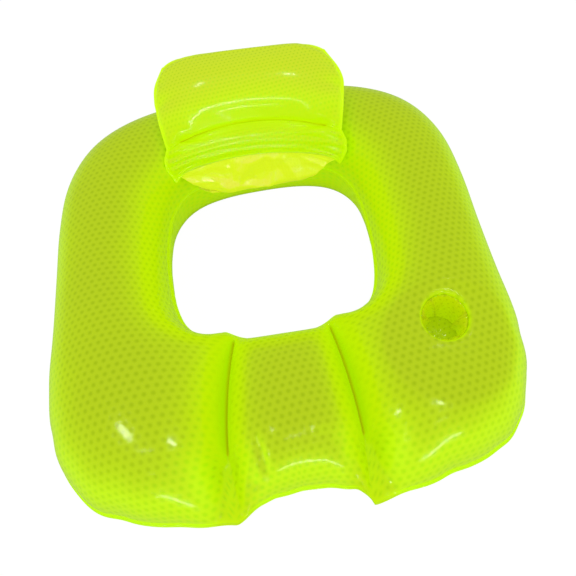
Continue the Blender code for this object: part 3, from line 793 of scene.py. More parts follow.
def open_mouth(obj, radius):
    """Splits the film round the cup well finer, sinks it there, opens it inside the mouth and draws the cut
    edge onto a circle. Gives the turn and the height of each point of that edge."""
    shape = bmesh.new()
    shape.from_mesh(obj.data)

    def away(p):
        return math.hypot(p.x - cup_x, p.y - cup_y)

    near = [e for e in shape.edges if all(away(v.co) < FINE_FILM_RADIUS for v in e.verts)]
    bmesh.ops.subdivide_edges(shape, edges=near, cuts=FINE_FILM_CUTS, use_grid_fill=True)
    shape.verts.ensure_lookup_table()
    sunk = well_sink(np.array([v.co for v in shape.verts]))
    for v, depth in zip(shape.verts, sunk):
        v.co.z -= depth
    inside = [f for f in shape.faces if away(f.calc_center_median()) < radius]
    bmesh.ops.delete(shape, geom=inside, context="FACES")
    rim = [v for v in shape.verts if v.is_boundary and away(v.co) < RIM_SEARCH * radius]
    for v in rim:
        share = radius / away(v.co)
        v.co.x, v.co.y = cup_x + (v.co.x - cup_x) * share, cup_y + (v.co.y - cup_y) * share
    edge = sorted((math.atan2(v.co.y - cup_y, v.co.x - cup_x) % (2 * math.pi), v.co.z) for v in rim)
    shape.to_mesh(obj.data)
    shape.free()
    return np.array(edge)


def dress(piece, material, slot, *nodes, body=None):
    """Gives a piece its material, unless it has one, hides the imported solids that it stands for, and
    hangs it on the body that carries it."""
    if not piece.data.materials:
        piece.data.materials.append(material)
    if nodes:
        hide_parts(*nodes)
    if body:
        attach(piece, body)


mouth_rim = open_mouth(ring_top, CUP_MOUTH_RADIUS)
bpy.context.view_layer.update()
ring_surface = BVHTree.FromObject(ring_top, bpy.context.evaluated_depsgraph_get())
for film, node in ((ring_top, "ring_top_sheet"), (ring_bottom, "ring_bottom_sheet")):
    with_wall(film, FILM)
    dress(film, lime_film, "lime_film", node, body="ring")


# Cup well: a tapered liner of the same film hangs in a round hole in the right arm, and a disc closes its
# foot. The air round it presses the liner in, so it stands in soft lengthwise folds that meet at the foot.
CUP_FLOOR_RADIUS = 0.0370
LINER_TURNS = 180
LINER_STEPS = 36
LINER_BULGE = 0.0022
LINER_FOLDS = 10
LINER_FOLD_DEPTH = 0.0120
LINER_SHADE_REACH = 0.060
LINER_SEED = 11
LINER_FOLD_DRIFT = 0.6
LINER_FOLD_SCATTER = 0.3
LINER_FOLD_STRENGTHS = (0.35, 1.0)
LINER_FOLD_WIDTHS = (0.10, 0.22)
FLOOR_RINGS = 12
FLOOR_CRUMPLE = 0.0012
WELL_FROM_SEAM = 0.05
WELL_ACROSS = 0.3
# Painted light and shade in the well: the liner is paler on the folds that stand in and darker between
# them, and it takes only part of the painted shade from ambient occlusion.
WELL_RIDGE_PAINTED_LIGHT = paint(220, 240, 16)
WELL_VALLEY_PAINTED_SHADE = paint(208, 232, 4)
WELL_LEVEL = (-1.2, -1.1)
WELL_DOTS = (0.8 * DOT_PITCH, 0.5 * DOT_RADIUS)
WELL_PAINTED_GLOW = 0.10
WELL_PAINTED_SHADE_SHARE = 0.35

cup_foot, cup_floor_top = (corner.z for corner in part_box("cup_floor"))
cup_turns = 2 * math.pi * np.arange(LINER_TURNS) / LINER_TURNS


def liner_folds(down):
    """How far the liner stands in at each turn and depth, in shares, as a few pointed folds that drift."""
    draw = random.Random(LINER_SEED)
    folds = np.zeros((LINER_TURNS, len(down)))
    for i in range(LINER_FOLDS):
        drift = draw.uniform(-LINER_FOLD_DRIFT, LINER_FOLD_DRIFT) * down
        scatter = draw.uniform(-LINER_FOLD_SCATTER, LINER_FOLD_SCATTER)
        middle = 2 * math.pi * (i + scatter) / LINER_FOLDS + drift
        off = (cup_turns[:, None] - middle[None, :] + math.pi) % (2 * math.pi) - math.pi
        strength = draw.uniform(*LINER_FOLD_STRENGTHS)
        folds += strength * np.exp(-np.abs(off / draw.uniform(*LINER_FOLD_WIDTHS)) ** 1.1)
    return folds


def round_grid(radius, height):
    """Rows of points down or across the cup well, one row to each turn."""
    turned_out = np.stack([np.cos(cup_turns), np.sin(cup_turns)], 1)[:, None] * radius[:, :, None]
    return np.concatenate([turned_out + [cup_x, cup_y], height[:, :, None]], axis=2)


well_film = film_paint(
    "well_film", WELL_RIDGE_PAINTED_LIGHT, WELL_VALLEY_PAINTED_SHADE, WELL_VALLEY_PAINTED_SHADE, LIME_WELD, *WELL_DOTS, level=WELL_LEVEL,
    own_painted_glow=WELL_PAINTED_GLOW, painted_shade_share=WELL_PAINTED_SHADE_SHARE,
)

down = np.linspace(0, 1, LINER_STEPS)
lip = np.interp(cup_turns, mouth_rim[:, 0], mouth_rim[:, 1], period=2 * math.pi)
liner_height = lip[:, None] + (cup_foot - lip[:, None]) * down
stand_in = np.sin(math.pi * down**0.8) ** 0.8 * (LINER_BULGE + LINER_FOLD_DEPTH * liner_folds(down))
liner_radius = CUP_MOUTH_RADIUS - GAP + (CUP_FLOOR_RADIUS - CUP_MOUTH_RADIUS + GAP) * down - stand_in
liner_round = np.tile(cup_turns[:, None] * CUP_FLOOR_RADIUS, (1, LINER_STEPS))
# The liner's fold mark places the painted light on its folds and the painted shade between them.
liner = film_object(
    "cup_liner_film", round_grid(liner_radius, liner_height), True, False,
    np.stack([liner_round, liner_height], axis=2), {
        "from_seam": WELL_FROM_SEAM + down * (lip.mean() - cup_foot),
        "across": WELL_ACROSS,
        "from_weld": 1.0,
        "from_fold": LINER_SHADE_REACH * liner_folds(down),
    },
)
with_wall(liner, FILM)
dress(liner, well_film, "lime_film", "cup_liner", body="ring")

toward_middle = np.linspace(1, 0, FLOOR_RINGS)
crumple = FLOOR_CRUMPLE * liner_folds(np.ones(FLOOR_RINGS)) * np.sin(math.pi * toward_middle)
floor_rows = round_grid(
    np.tile((CUP_FLOOR_RADIUS - FILM) * toward_middle, (LINER_TURNS, 1)), cup_foot + GAP + crumple
)
cup_floor = film_object("cup_floor_disc", floor_rows, True, False, floor_rows[:, :, :2], {
    "from_seam": WELL_FROM_SEAM + CUP_FLOOR_RADIUS * (1 - toward_middle),
    "across": WELL_ACROSS,
    "from_weld": 1.0,
    "from_fold": 1.0,
})
closing = bmesh.new()
closing.from_mesh(cup_floor.data)
bmesh.ops.remove_doubles(closing, verts=closing.verts, dist=1e-5)
closing.to_mesh(cup_floor.data)
closing.free()
with_wall(cup_floor, cup_floor_top - cup_foot)
dress(cup_floor, well_film, "lime_film", "cup_floor", body="ring")


# Neck and web: one pale sheet of single film, crumpled where it hinges. It is welded to the flange behind
# the seat hole, folds forward on a straight line, and is lapped and welded under the headrest's roll.
FOLD_HALF_WIDTH = 0.117
FOLD_REACH = 0.0145
NECK_SPREAD = 0.040
WEB_THICKNESS = 0.0007
HEAD_HALF_WIDTH = 0.218
ROLL_LENGTH = 0.105
PILLOW_LENGTH = 0.180
HEAD_STAND_OFF = 0.0235
HEAD_BOW = 0.034
HEAD_TOP_BOW_SHARE = 0.30
ROLL_WIDTH_SHARES = [(0.00, 0.900), (0.28, 0.960), (0.60, 0.965), (1.00, 0.920)]
HEAD_TURN = math.radians(-3.0)
ROLL_ARCH = 0.022
HEAD_SHIFT = 0.004
WEB_ROWS = 110
NECK_COLUMNS = 14
WEB_COLUMNS = 34
CRUMPLE_LINES = 20
CRUMPLE_DEPTH = 0.0085
CRUMPLE_WIDTH = 0.024
CRUMPLE_SEED = 4
CRUMPLE_TURN_MARGIN = 0.1
CRUMPLE_WIDTHS = (0.6, 1.4)
CRUMPLE_STRENGTHS = (0.4, 1.0)
NECK_FREEDOM = 0.5
NECK_FREE_SPAN = 0.85
WEB_FREE_RISE = 6

neck_height = seam_height + GAP / 2 + FILM + GAP
weld_clear = FILM + 2 * GAP
tube_radius = (RING_BACK - HOLE_BACK) / 2
tube_y = hole_line + (RING_BACK + HOLE_BACK) / 2
wrap_radius = tube_radius + HEAD_STAND_OFF
fold_y = tube_y - wrap_radius - FOLD_REACH
fold_height = neck_height + FILM
head_length = ROLL_LENGTH + PILLOW_LENGTH
wrap_start = math.acos(wrap_radius / (tube_y - fold_y))
web_length = math.dist(
    (fold_y, fold_height),
    (tube_y - wrap_radius * math.cos(wrap_start), fold_height + wrap_radius * math.sin(wrap_start)),
)


def askew(points):
    """The headrest lies a little askew: turned and shifted, from nothing at the fold to all at the roll."""
    x, y, z = points[..., 0], points[..., 1] - fold_y, points[..., 2] - fold_height
    share = np.clip(np.hypot(y, z) / web_length, 0, 1)
    turn = HEAD_TURN * share
    return np.stack([
        x * np.cos(turn) - y * np.sin(turn) + HEAD_SHIFT * share,
        fold_y + x * np.sin(turn) + y * np.cos(turn),
        points[..., 2],
    ], axis=-1)


def head_slope(along):
    """The slope of the headrest's middle line: up the web, round the ring's back tube, then straight on."""
    return math.pi / 2 - wrap_start - np.clip(along, 0, ROLL_LENGTH) / wrap_radius


def head_point(x, along, lift):
    """Points of the headrest this far across, along and off its middle. Its ends bow to the front."""
    slope = head_slope(along)
    rest = along - np.clip(along, 0, ROLL_LENGTH)
    share = np.clip(along / head_length, 0, 1)
    lift = lift + HEAD_BOW * (1 + (HEAD_TOP_BOW_SHARE - 1) * share) * (x / HEAD_HALF_WIDTH) ** 2
    y = tube_y - wrap_radius * np.sin(slope) + rest * np.cos(slope) - np.sin(slope) * lift
    z = fold_height + wrap_radius * np.cos(slope) + rest * np.sin(slope) + np.cos(slope) * lift
    return askew(np.stack([x, y, z], axis=-1))


def crumpled(rows, flat, lines, depth, width, seed):
    """Moves a film along its normals into sharp straight ridges and valleys that cross each other."""
    draw = random.Random(seed)
    low, high = flat.reshape(-1, 2).min(0), flat.reshape(-1, 2).max(0)
    off = np.zeros(flat.shape[:2])
    for _ in range(lines):
        through = [draw.uniform(a, b) for a, b in zip(low, high)]
        turn = draw.uniform(CRUMPLE_TURN_MARGIN, math.pi - CRUMPLE_TURN_MARGIN)
        away = (flat[..., 0] - through[0]) * math.sin(turn) - (flat[..., 1] - through[1]) * math.cos(turn)
        ridge = np.maximum(0, 1 - np.abs(away) / (width * draw.uniform(*CRUMPLE_WIDTHS)))
        off += draw.choice((-1, 1)) * draw.uniform(*CRUMPLE_STRENGTHS) * ridge
    across = np.gradient(rows, axis=0)
    onward = np.gradient(rows, axis=1)
    normal = np.cross(across, onward)
    normal /= np.maximum(np.linalg.norm(normal, axis=2, keepdims=True), 1e-9)
    return rows + (depth * off)[:, :, None] * normal


# Painted light on the web: paler facets where it faces up, a deeper lime on its sides.
PALE_TOP_PAINTED_LIGHT = paint(255, 255, 84)
PALE_SIDE_PAINTED_LIGHT = paint(230, 246, 40)
PALE_OUTER_PAINTED_LIGHT = paint(200, 240, 30)
PALE_LEVEL = (0.42, 0.72)
PALE_DOTS = (0.66 * DOT_PITCH, 0.4 * DOT_RADIUS)
pale_film = film_paint(
    "pale_film", PALE_TOP_PAINTED_LIGHT, PALE_SIDE_PAINTED_LIGHT, PALE_OUTER_PAINTED_LIGHT, PALE_SIDE_PAINTED_LIGHT, *PALE_DOTS, level=PALE_LEVEL
)

neck_half_width = FOLD_HALF_WIDTH + NECK_SPREAD
behind = (ring_points[:, 0, 1] > hole_line) & (np.abs(ring_points[:, 0, 0]) <= neck_half_width)
neck_edge = ring_points[behind, 0] - weld_clear * np.array([0, 1])
neck_edge = neck_edge[np.argsort(neck_edge[:, 0])]
web_shares = np.linspace(-1, 1, WEB_ROWS)
back_x = np.interp(web_shares, np.linspace(-1, 1, len(neck_edge)), neck_edge[:, 0])
back_edge = np.stack([
    back_x, np.interp(back_x, *neck_edge.T), np.full(WEB_ROWS, neck_height + WEB_THICKNESS)
], axis=1)
fold_line = np.stack([
    FOLD_HALF_WIDTH * web_shares, np.full(WEB_ROWS, fold_y), np.full(WEB_ROWS, fold_height)
], axis=1)
foot_width = HEAD_HALF_WIDTH * ROLL_WIDTH_SHARES[0][1] - SEAM_FLANGE
lap = GAP / 2 + FILM + GAP
roll_arch = ROLL_ARCH * (1 - web_shares**2)
lap_low = head_point(foot_width * web_shares, roll_arch - SEAM_FLANGE, np.full(WEB_ROWS, lap))
lap_high = head_point(foot_width * web_shares, roll_arch - weld_clear, np.full(WEB_ROWS, lap))
neck_shares = np.linspace(0, 1, NECK_COLUMNS)[None, :, None]
rise_shares = np.linspace(0, 1, WEB_COLUMNS)[None, 1:, None]
web_rows = np.concatenate([
    back_edge[:, None] * (1 - neck_shares) + fold_line[:, None] * neck_shares,
    fold_line[:, None] * (1 - rise_shares) + lap_low[:, None] * rise_shares,
    (lap_low[:, None] + lap_high[:, None]) / 2,
    lap_high[:, None],
], axis=1)
web_along = run_length(web_rows)
web_flat = np.stack([np.tile(foot_width * web_shares[:, None], (1, web_rows.shape[1])), web_along], axis=2)
free = np.ones(web_rows.shape[1])
free[:NECK_COLUMNS] = np.sin(math.pi * np.linspace(0, NECK_FREE_SPAN, NECK_COLUMNS)) * NECK_FREEDOM
free[NECK_COLUMNS:-2] = np.minimum(1, WEB_FREE_RISE * (1 - np.linspace(0, 1, WEB_COLUMNS)[1:]))
free[-2:] = 0
crumpled_rows = crumpled(web_rows, web_flat, CRUMPLE_LINES, CRUMPLE_DEPTH, CRUMPLE_WIDTH, CRUMPLE_SEED)
web_rows = web_rows + (crumpled_rows - web_rows) * free[None, :, None]
web_rows[:NECK_COLUMNS, :, 2] = np.maximum(web_rows[:NECK_COLUMNS, :, 2], neck_height)
web_marks = {"from_seam": 1.0, "across": 0.5, "from_weld": 1.0, "from_fold": 1.0}
web = film_object("headrest_web_film", web_rows, False, True, web_flat, web_marks)
with_wall(web, WEB_THICKNESS)
dress(web, pale_film, "pale_film", "neck_flap", "headrest_web")
web_cut_length = float(web_along[:, -1].mean())
web_area = float((run_length(web_rows.transpose(1, 0, 2))[:, -1]).mean()) * web_cut_length
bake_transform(web)


# Headrest chamber: two sheets of lime film welded round the edge, and to each other along a crease that
# leaves a roll below and a larger pillow above, open to each other at both ends. It lies on the back tube.
CREASE_SWEEP = 0.042
CREASE_DRAW_IN = 0.012
PILLOW_DRAW_IN = 0.020
TOP_SWEEP = 0.006
PILLOW_TOP_EASE = 0.021
PILLOW_CORNER_RADII = (0.066, 0.086)
ROLL_TAB = 0.015
PILLOW_WIDTH_SHARES = [(0.00, 0.920), (0.25, 0.970), (0.50, 1.000), (0.80, 1.000), (1.00, 0.985)]
HEAD_SWELL_SHARE = 0.66
HEAD_CREASE_SHARE = 0.86
HEAD_CLEARANCE = 0.0025
HEAD_COLUMNS = 84
ROLL_ROWS = 26
PILLOW_ROWS = 34
ROLL_WRINKLES = [(0.082, 0.0030), (0.055, 0.0050), (0.030, 0.0035)]
WRINKLE_WIDTH = 0.0050
WRINKLE_DRIFT = 0.0035
WRINKLE_DRIFT_WAVES = 9
WRINKLE_DRIFT_START = 0.6
WRINKLE_SWING = 0.35
WRINKLE_SWING_WAVES = 17
WRINKLE_SWING_STEP = 90
HEAD_PUCKER_DEPTH = 0.0070
HEAD_PUCKER_REACH = 0.040
HEAD_PUCKER_ROWS = 6
HEAD_PUCKER_SEED = 3
HEAD_WELDED_END = 0.01
HEAD_GROWTH = 0.035
HEAD_PRESSURE = 5.0
HEAD_MOST_MOVE = 0.005

head_shares = -np.cos(np.pi * np.arange(HEAD_COLUMNS + 1) / HEAD_COLUMNS)


def rounded(reach, side):
    """How far a round corner lies inside a square one, at this reach along a side of this length, at the
    headrest's left where the column's share is below zero and at its right elsewhere."""
    left, right = PILLOW_CORNER_RADII
    radius = np.where(head_shares < 0, left, right)
    into = np.clip(reach - side + radius, 0, radius)
    return radius - np.sqrt(radius**2 - into**2)


head_plan = []
head_nominal = []
for base, length, rows, widths in (
    (0.0, ROLL_LENGTH, ROLL_ROWS, ROLL_WIDTH_SHARES),
    (ROLL_LENGTH, PILLOW_LENGTH, PILLOW_ROWS, PILLOW_WIDTH_SHARES),
):
    at, width = zip(*widths)
    for i in range(1 if base else 0, rows + 1):
        share = (1 - math.cos(math.pi * i / rows)) / 2
        along = base + share * length
        half = HEAD_HALF_WIDTH * float(np.interp(share, at, width))
        if base:
            half = half - rounded(share * length - PILLOW_TOP_EASE * share**4, length)
            sweep = CREASE_SWEEP + (TOP_SWEEP - CREASE_SWEEP) * share
            drop = rounded(np.abs(head_shares) * half, HEAD_HALF_WIDTH)
            bent = along - sweep * head_shares**2 - drop * share**4
            bent -= CREASE_DRAW_IN * (1 - share) + PILLOW_DRAW_IN * share
        else:
            arch = ROLL_ARCH * (1 - share) * (1 - head_shares**2)
            tab = ROLL_TAB * (1 - share) ** 4 * head_shares**14
            bent = along + arch - (CREASE_SWEEP * head_shares**2 + CREASE_DRAW_IN) * share - tab
        head_plan.append(np.stack([half * head_shares, bent], axis=1))
        head_nominal.append(along)
head_plan = np.array(head_plan)
head_nominal = np.array(head_nominal)[:, None]
head_rows, head_columns = head_plan.shape[:2]
head_held = np.zeros((head_rows, head_columns), bool)
head_held[:, [0, -1]] = True
head_held[[0, -1]] = True
head_held[ROLL_ROWS, np.abs(head_shares) <= HEAD_CREASE_SHARE] = True
head_lift = HEAD_SWELL_SHARE * air_lift(head_plan, False, head_held, np.zeros(head_held.shape))

drift = WRINKLE_DRIFT * np.sin(WRINKLE_DRIFT_WAVES * head_plan[:, :, 0] + WRINKLE_DRIFT_START)
wrinkles = np.zeros(head_lift.shape)
for at, depth in ROLL_WRINKLES:
    swing = np.sin(WRINKLE_SWING_WAVES * head_plan[:, :, 0] + WRINKLE_SWING_STEP * at)
    swing = 1 - WRINKLE_SWING + WRINKLE_SWING * swing
    wrinkles += depth * swing * np.exp(-(((head_nominal - at + drift) / WRINKLE_WIDTH) ** 2))
end_room = HEAD_HALF_WIDTH * (1 - np.abs(head_shares))[None, :]
end_valleys = pucker_valleys(head_rows, HEAD_PUCKER_ROWS, HEAD_PUCKER_SEED)[:, None] * HEAD_PUCKER_DEPTH
puckers = end_valleys * np.exp(-((end_room / HEAD_PUCKER_REACH) ** 2)) * (end_room > 0)
front_lift = np.maximum(head_lift - wrinkles - puckers, 0)
head_film_rows = {}
for side, lift in ((1, front_lift), (-1, np.maximum(head_lift - puckers, 0))):
    head_film_rows[side] = head_point(head_plan[:, :, 0], head_plan[:, :, 1], side * (GAP / 2 + lift))


def kept_off_ring(points, clearance):
    """Points that lie nearer to the ring's film than clearance are moved out along its normal."""
    found = points.reshape(-1, 3).copy()
    for i, p in enumerate(found):
        place, normal, _, _ = ring_surface.find_nearest(Vector(p))
        above = (Vector(p) - place).dot(normal)
        if above < clearance:
            found[i] = Vector(p) + normal * (clearance - above)
    return found.reshape(points.shape)


head_film_rows[-1] = kept_off_ring(head_film_rows[-1], FILM + HEAD_CLEARANCE)
head_slack = np.clip(end_room / HEAD_WELDED_END, 0, 1) * np.ones(head_lift.shape)
settled_in_air(head_film_rows, False, head_held, head_slack, HEAD_GROWTH, HEAD_PRESSURE, HEAD_MOST_MOVE)
head_film_rows[-1] = kept_off_ring(head_film_rows[-1], FILM + HEAD_CLEARANCE)
head_valve = valve_place("headrest_valve")
head_film_rows[-1] = flat_at_valve(head_film_rows[-1], head_valve)


def head_film(name, side):
    """One of the headrest's two sheets, with its flat weld flange all round."""
    rows = head_film_rows[side]
    wide = np.zeros((head_rows + 2, head_columns + 2, 3))
    wide[1:-1, 1:-1] = rows
    flat = np.zeros((head_rows + 2, head_columns + 2, 2))
    flat[1:-1, 1:-1] = head_plan
    for j in range(-1, head_rows + 1):
        for i in range(-1, head_columns + 1):
            row, column = min(max(j, 0), head_rows - 1), min(max(i, 0), head_columns - 1)
            if (row, column) != (j, i):
                reach = SEAM_FLANGE / math.hypot(i - column, j - row)
                x = head_plan[row, column, 0] + reach * (i - column)
                along = head_plan[row, column, 1] + reach * (j - row)
                flat[j + 1, i + 1] = x, along
                wide[j + 1, i + 1] = head_point(np.array(x), np.array(along), np.array(side * GAP / 2))
    index = np.arange(wide.shape[0] * wide.shape[1]).reshape(wide.shape[:2])
    weld = index[ROLL_ROWS + 1, 1:-1][head_held[ROLL_ROWS]][1:-1]
    sharp = set()
    for line in (index[1, 1:-1], index[-2, 1:-1], index[1:-1, 1], index[1:-1, -2], weld):
        sharp |= edge_pairs(line)
    line = flat[ROLL_ROWS + 1, 1:-1][head_held[ROLL_ROWS]][1:-1]
    off = np.linalg.norm(flat[:, :, None] - line[None, None], axis=3).min(axis=2)
    from_side = np.minimum(flat[:, :, 0] - flat[:, :1, 0], flat[:, -1:, 0] - flat[:, :, 0])
    from_end = np.minimum(flat[:, :, 1] - flat[:1, :, 1], flat[-1:, :, 1] - flat[:, :, 1])
    marks = {
        "from_seam": np.minimum(from_side, from_end),
        "across": np.where(np.arange(wide.shape[0])[:, None] > ROLL_ROWS, 0.9, 0.3),
        "from_weld": off,
        "from_fold": off,
    }
    return film_object(name, wide, False, side > 0, flat, marks, sharp)


# Painted light on the headrest: a paler lime where it faces up, and a fuller, brighter lime on its sides.
HEAD_TOP_PAINTED_LIGHT = paint(218, 242, 44)
HEAD_SIDE_PAINTED_LIGHT = paint(200, 242, 4)
HEAD_OUTER_PAINTED_LIGHT = paint(208, 248, 24)
HEAD_LEVEL = (0.46, 0.94)
HEAD_DOTS = (0.66 * DOT_PITCH, 0.60 * DOT_RADIUS)

head_lime = film_paint(
    "headrest_film", HEAD_TOP_PAINTED_LIGHT, HEAD_SIDE_PAINTED_LIGHT, HEAD_OUTER_PAINTED_LIGHT, LIME_WELD, *HEAD_DOTS, level=HEAD_LEVEL
)
for name, side, node in (
    ("headrest_front_film", 1, "headrest_front_sheet"), ("headrest_back_film", -1, "headrest_back_sheet")
):
    film = smoothed(head_film(name, side), 1)
    with_wall(film, FILM)
    dress(film, head_lime, "lime_film", node, body="headrest")


# Weld ribs: the heated bars leave thin raised lines along the flanges, three under the headrest's roll and
# two round each of the ring's seams. Their lines follow the welded edges of the films.
RIB_RADIUS = 0.00045
RIB_SIDES = 6
ROLL_RIB_SHARES = (0.90, 0.55, 0.20)
SEAM_RIB_SHARES = (0.35, 0.75)
RIB_NOISE_SCALE = 90.0
RIB_ROUGHNESS = 0.32


def grown(name, mesh, build, inputs, material):
    """A piece made by Geometry Nodes: build turns the mesh and the named inputs, each a count or a length,
    into a shape, which is then made real and painted."""
    tree = bpy.data.node_groups.new(name, "GeometryNodeTree")
    tree.interface.new_socket("Geometry", in_out="INPUT", socket_type="NodeSocketGeometry")
    obj = put_in(name, mesh)
    grow = obj.modifiers.new("shape", "NODES")
    named = {}
    for label, value in inputs.items():
        kind = "NodeSocketInt" if isinstance(value, int) else "NodeSocketFloat"
        named[label] = tree.interface.new_socket(label, in_out="INPUT", socket_type=kind).identifier
    tree.interface.new_socket("Geometry", in_out="OUTPUT", socket_type="NodeSocketGeometry")
    start, end = tree.nodes.new("NodeGroupInput"), tree.nodes.new("NodeGroupOutput")
    shape = build(tree, *start.outputs[:len(inputs) + 1])
    real = wire(tree, "GeometryNodeRealizeInstances", shape)
    painted = wire(tree, "GeometryNodeSetMaterial", real)
    painted.node.inputs["Material"].default_value = material
    feed(end.inputs, [painted])
    grow.node_group = tree
    for label, value in inputs.items():
        grow[named[label]] = value
    return made_plain(obj)


def swept_lines(tree, lines, radius, sides):
    """A small round profile swept along every line of edges that comes in."""
    line = wire(tree, "GeometryNodeMeshToCurve", lines)
    profile = tree.nodes.new("GeometryNodeCurvePrimitiveCircle")
    feed_named(profile, {"Radius": radius, "Resolution": sides})
    swept = wire(tree, "GeometryNodeCurveToMesh", line, profile.outputs["Curve"])
    swept.node.inputs["Fill Caps"].default_value = True
    return swept


# Painted glow: the ribs give out light in their own colour, as the film round them does.
rib_vinyl, rib_tree, rib_shader = new_paint("weld_ribs")
rib_color = mixed(rib_tree, noise_of(rib_tree, RIB_NOISE_SCALE), LIME_WELD, LIME_OUTER_PAINTED_LIGHT)
feed_named(rib_shader, {
    "Base Color": rib_color,
    "Emission Color": rib_color,
    "Emission Strength": FILM_PAINTED_GLOW,
    "Roughness": RIB_ROUGHNESS,
})


def weld_ribs(name, lines, closed, slot, body):
    """Raised weld lines through the given rows of points."""
    points, edges = [], []
    for line in lines:
        first = len(points)
        points += [tuple(p) for p in line]
        edges += [(first + i, first + i + 1) for i in range(len(line) - 1)]
        if closed:
            edges.append((len(points) - 1, first))
    mesh = bpy.data.meshes.new(name)
    mesh.from_pydata(points, edges, [])
    ribs = grown(name, mesh, swept_lines, {"Rib radius": RIB_RADIUS, "Rib sides": RIB_SIDES}, rib_vinyl)
    dress(ribs, rib_vinyl, slot, body=body)


rib_lift = np.full(WEB_ROWS, lap + WEB_THICKNESS)
roll_lines = [
    head_point(foot_width * web_shares, roll_arch - SEAM_FLANGE * share, rib_lift)
    for share in ROLL_RIB_SHARES
]
weld_ribs("headrest_weld_ribs", roll_lines, False, "pale_film", "headrest")

flange_top = np.full((ring_rows, 1), seam_height + GAP / 2 + FILM)
ring_ways = ring_points[:, -1] - ring_points[:, 0]
ring_ways /= np.linalg.norm(ring_ways, axis=1, keepdims=True)
seam_lines = [
    np.concatenate([seam + share * SEAM_FLANGE * way, flange_top], axis=1)
    for share in SEAM_RIB_SHARES
    for seam, way in ((ring_points[:, 0], -ring_ways), (ring_points[:, -1], ring_ways))
]
weld_ribs("ring_weld_ribs", seam_lines, True, "lime_film", "ring")


# Valves: each chamber has a moulded vinyl flange welded round a hole in its film. It holds a short stem
# that is pushed in when full, with a check flap at its foot and a plug on a strap.
VALVE_FLANGE_THICKNESS = 0.0009
FLANGE_GROOVE = [(0.62, 1.00), (0.66, 0.80), (0.72, 0.80), (0.76, 1.00), (0.93, 1.00)]
STEM_RADIUS = 0.0060
STEM_BORE_RADIUS = 0.0042
STEM_INSIDE = 0.0200
STEM_CLEARANCE = 0.0004
COLLAR_RADIUS = 0.0072
COLLAR_THICKNESS = 0.0022
PLUG_CAP_THICKNESS = 0.0020
PLUG_PIN_LENGTH = 0.0090
PLUG_CLEARANCE = 0.0003
CHECK_FLAP_RADIUS = 0.0054
CHECK_FLAP_THICKNESS = 0.0006
STRAP_WIDTH = 0.0024
STRAP_THICKNESS = 0.0009
STRAP_REACH = 0.0045
VALVE_SIDES = 72
VALVE_EDGE = 0.00028
GRIP_RIBS = 24
GRIP_RIB_RADIUS = 0.00030
GRIP_RIB_SIDES = 8
VINYL_PAINTED_GLOW = 0.34
VINYL_CLOUD_SCALE = 130.0
VINYL_GRAIN_SCALE = 2600.0
VINYL_GRAIN_STRENGTH = 0.25
VINYL_GRAIN_DEPTH = 0.0001
VINYL_WEAR_SHARE = 0.15


def vinyl_paint(name, color, roughness, see_through):
    """Soft moulded vinyl, a little cloudy, with the fine texture of its mould and a painted glow in its own
    colour.
    """
    material, tree, shader = new_paint(name)
    cloud = noise_of(tree, VINYL_CLOUD_SCALE)
    grain = noise_of(tree, VINYL_GRAIN_SCALE)
    tone = mixed(tree, cloud, color, (color[0] * 0.82, color[1] * 0.86, color[2] * 0.6, 1.0))
    feed_named(shader, {
        "Base Color": tone,
        "Emission Color": tone,
        "Emission Strength": VINYL_PAINTED_GLOW,
        "Normal": relief_of(tree, grain, VINYL_GRAIN_STRENGTH, VINYL_GRAIN_DEPTH),
        "Roughness": sum_of(tree, "MULTIPLY_ADD", cloud, VINYL_WEAR_SHARE, roughness),
        "Transmission Weight": see_through,
    })
    return material


valve_vinyl = vinyl_paint("valve_vinyl", paint(214, 240, 104), 0.26, 0.08)
plug_vinyl = vinyl_paint("plug_vinyl", paint(204, 234, 64), 0.30, 0.05)


def turned(name, profile, place):
    """A closed profile of (radius, height) points turned about the valve's own Z axis, with eased edges."""
    shape = bmesh.new()
    points = [shape.verts.new((r, 0, z)) for r, z in profile]
    edges = [shape.edges.new(pair) for pair in zip(points, points[1:])]
    if profile[0][0] > 0:
        edges.append(shape.edges.new((points[-1], points[0])))
    bmesh.ops.spin(
        shape, geom=[*points, *edges], cent=(0, 0, 0), axis=(0, 0, 1), angle=2 * math.pi, steps=VALVE_SIDES,
        use_duplicate=False,
    )
    bmesh.ops.remove_doubles(shape, verts=shape.verts, dist=1e-6)
    bmesh.ops.recalc_face_normals(shape, faces=shape.faces)
    mesh = bpy.data.meshes.new(name)
    shape.to_mesh(mesh)
    shape.free()
    obj = put_in(name, mesh)
    ease = obj.modifiers.new("eased_edges", "BEVEL")
    ease.width = VALVE_EDGE
    ease.segments = 2
    ease.limit_method = "ANGLE"
    made_plain(obj)
    obj.data.transform(place)
    return obj


def upright_ribs(tree, _, count, circle_radius, radius, length):
    """Small round ribs set upright round a circle."""
    circle = wire(tree, "GeometryNodeMeshCircle", count, circle_radius)
    rib = tree.nodes.new("GeometryNodeMeshCylinder")
    feed_named(rib, {"Vertices": GRIP_RIB_SIDES, "Radius": radius, "Depth": length})
    placed = tree.nodes.new("GeometryNodeInstanceOnPoints")
    feed_named(placed, {"Points": circle, "Instance": rib.outputs["Mesh"]})
    return placed.outputs["Instances"]


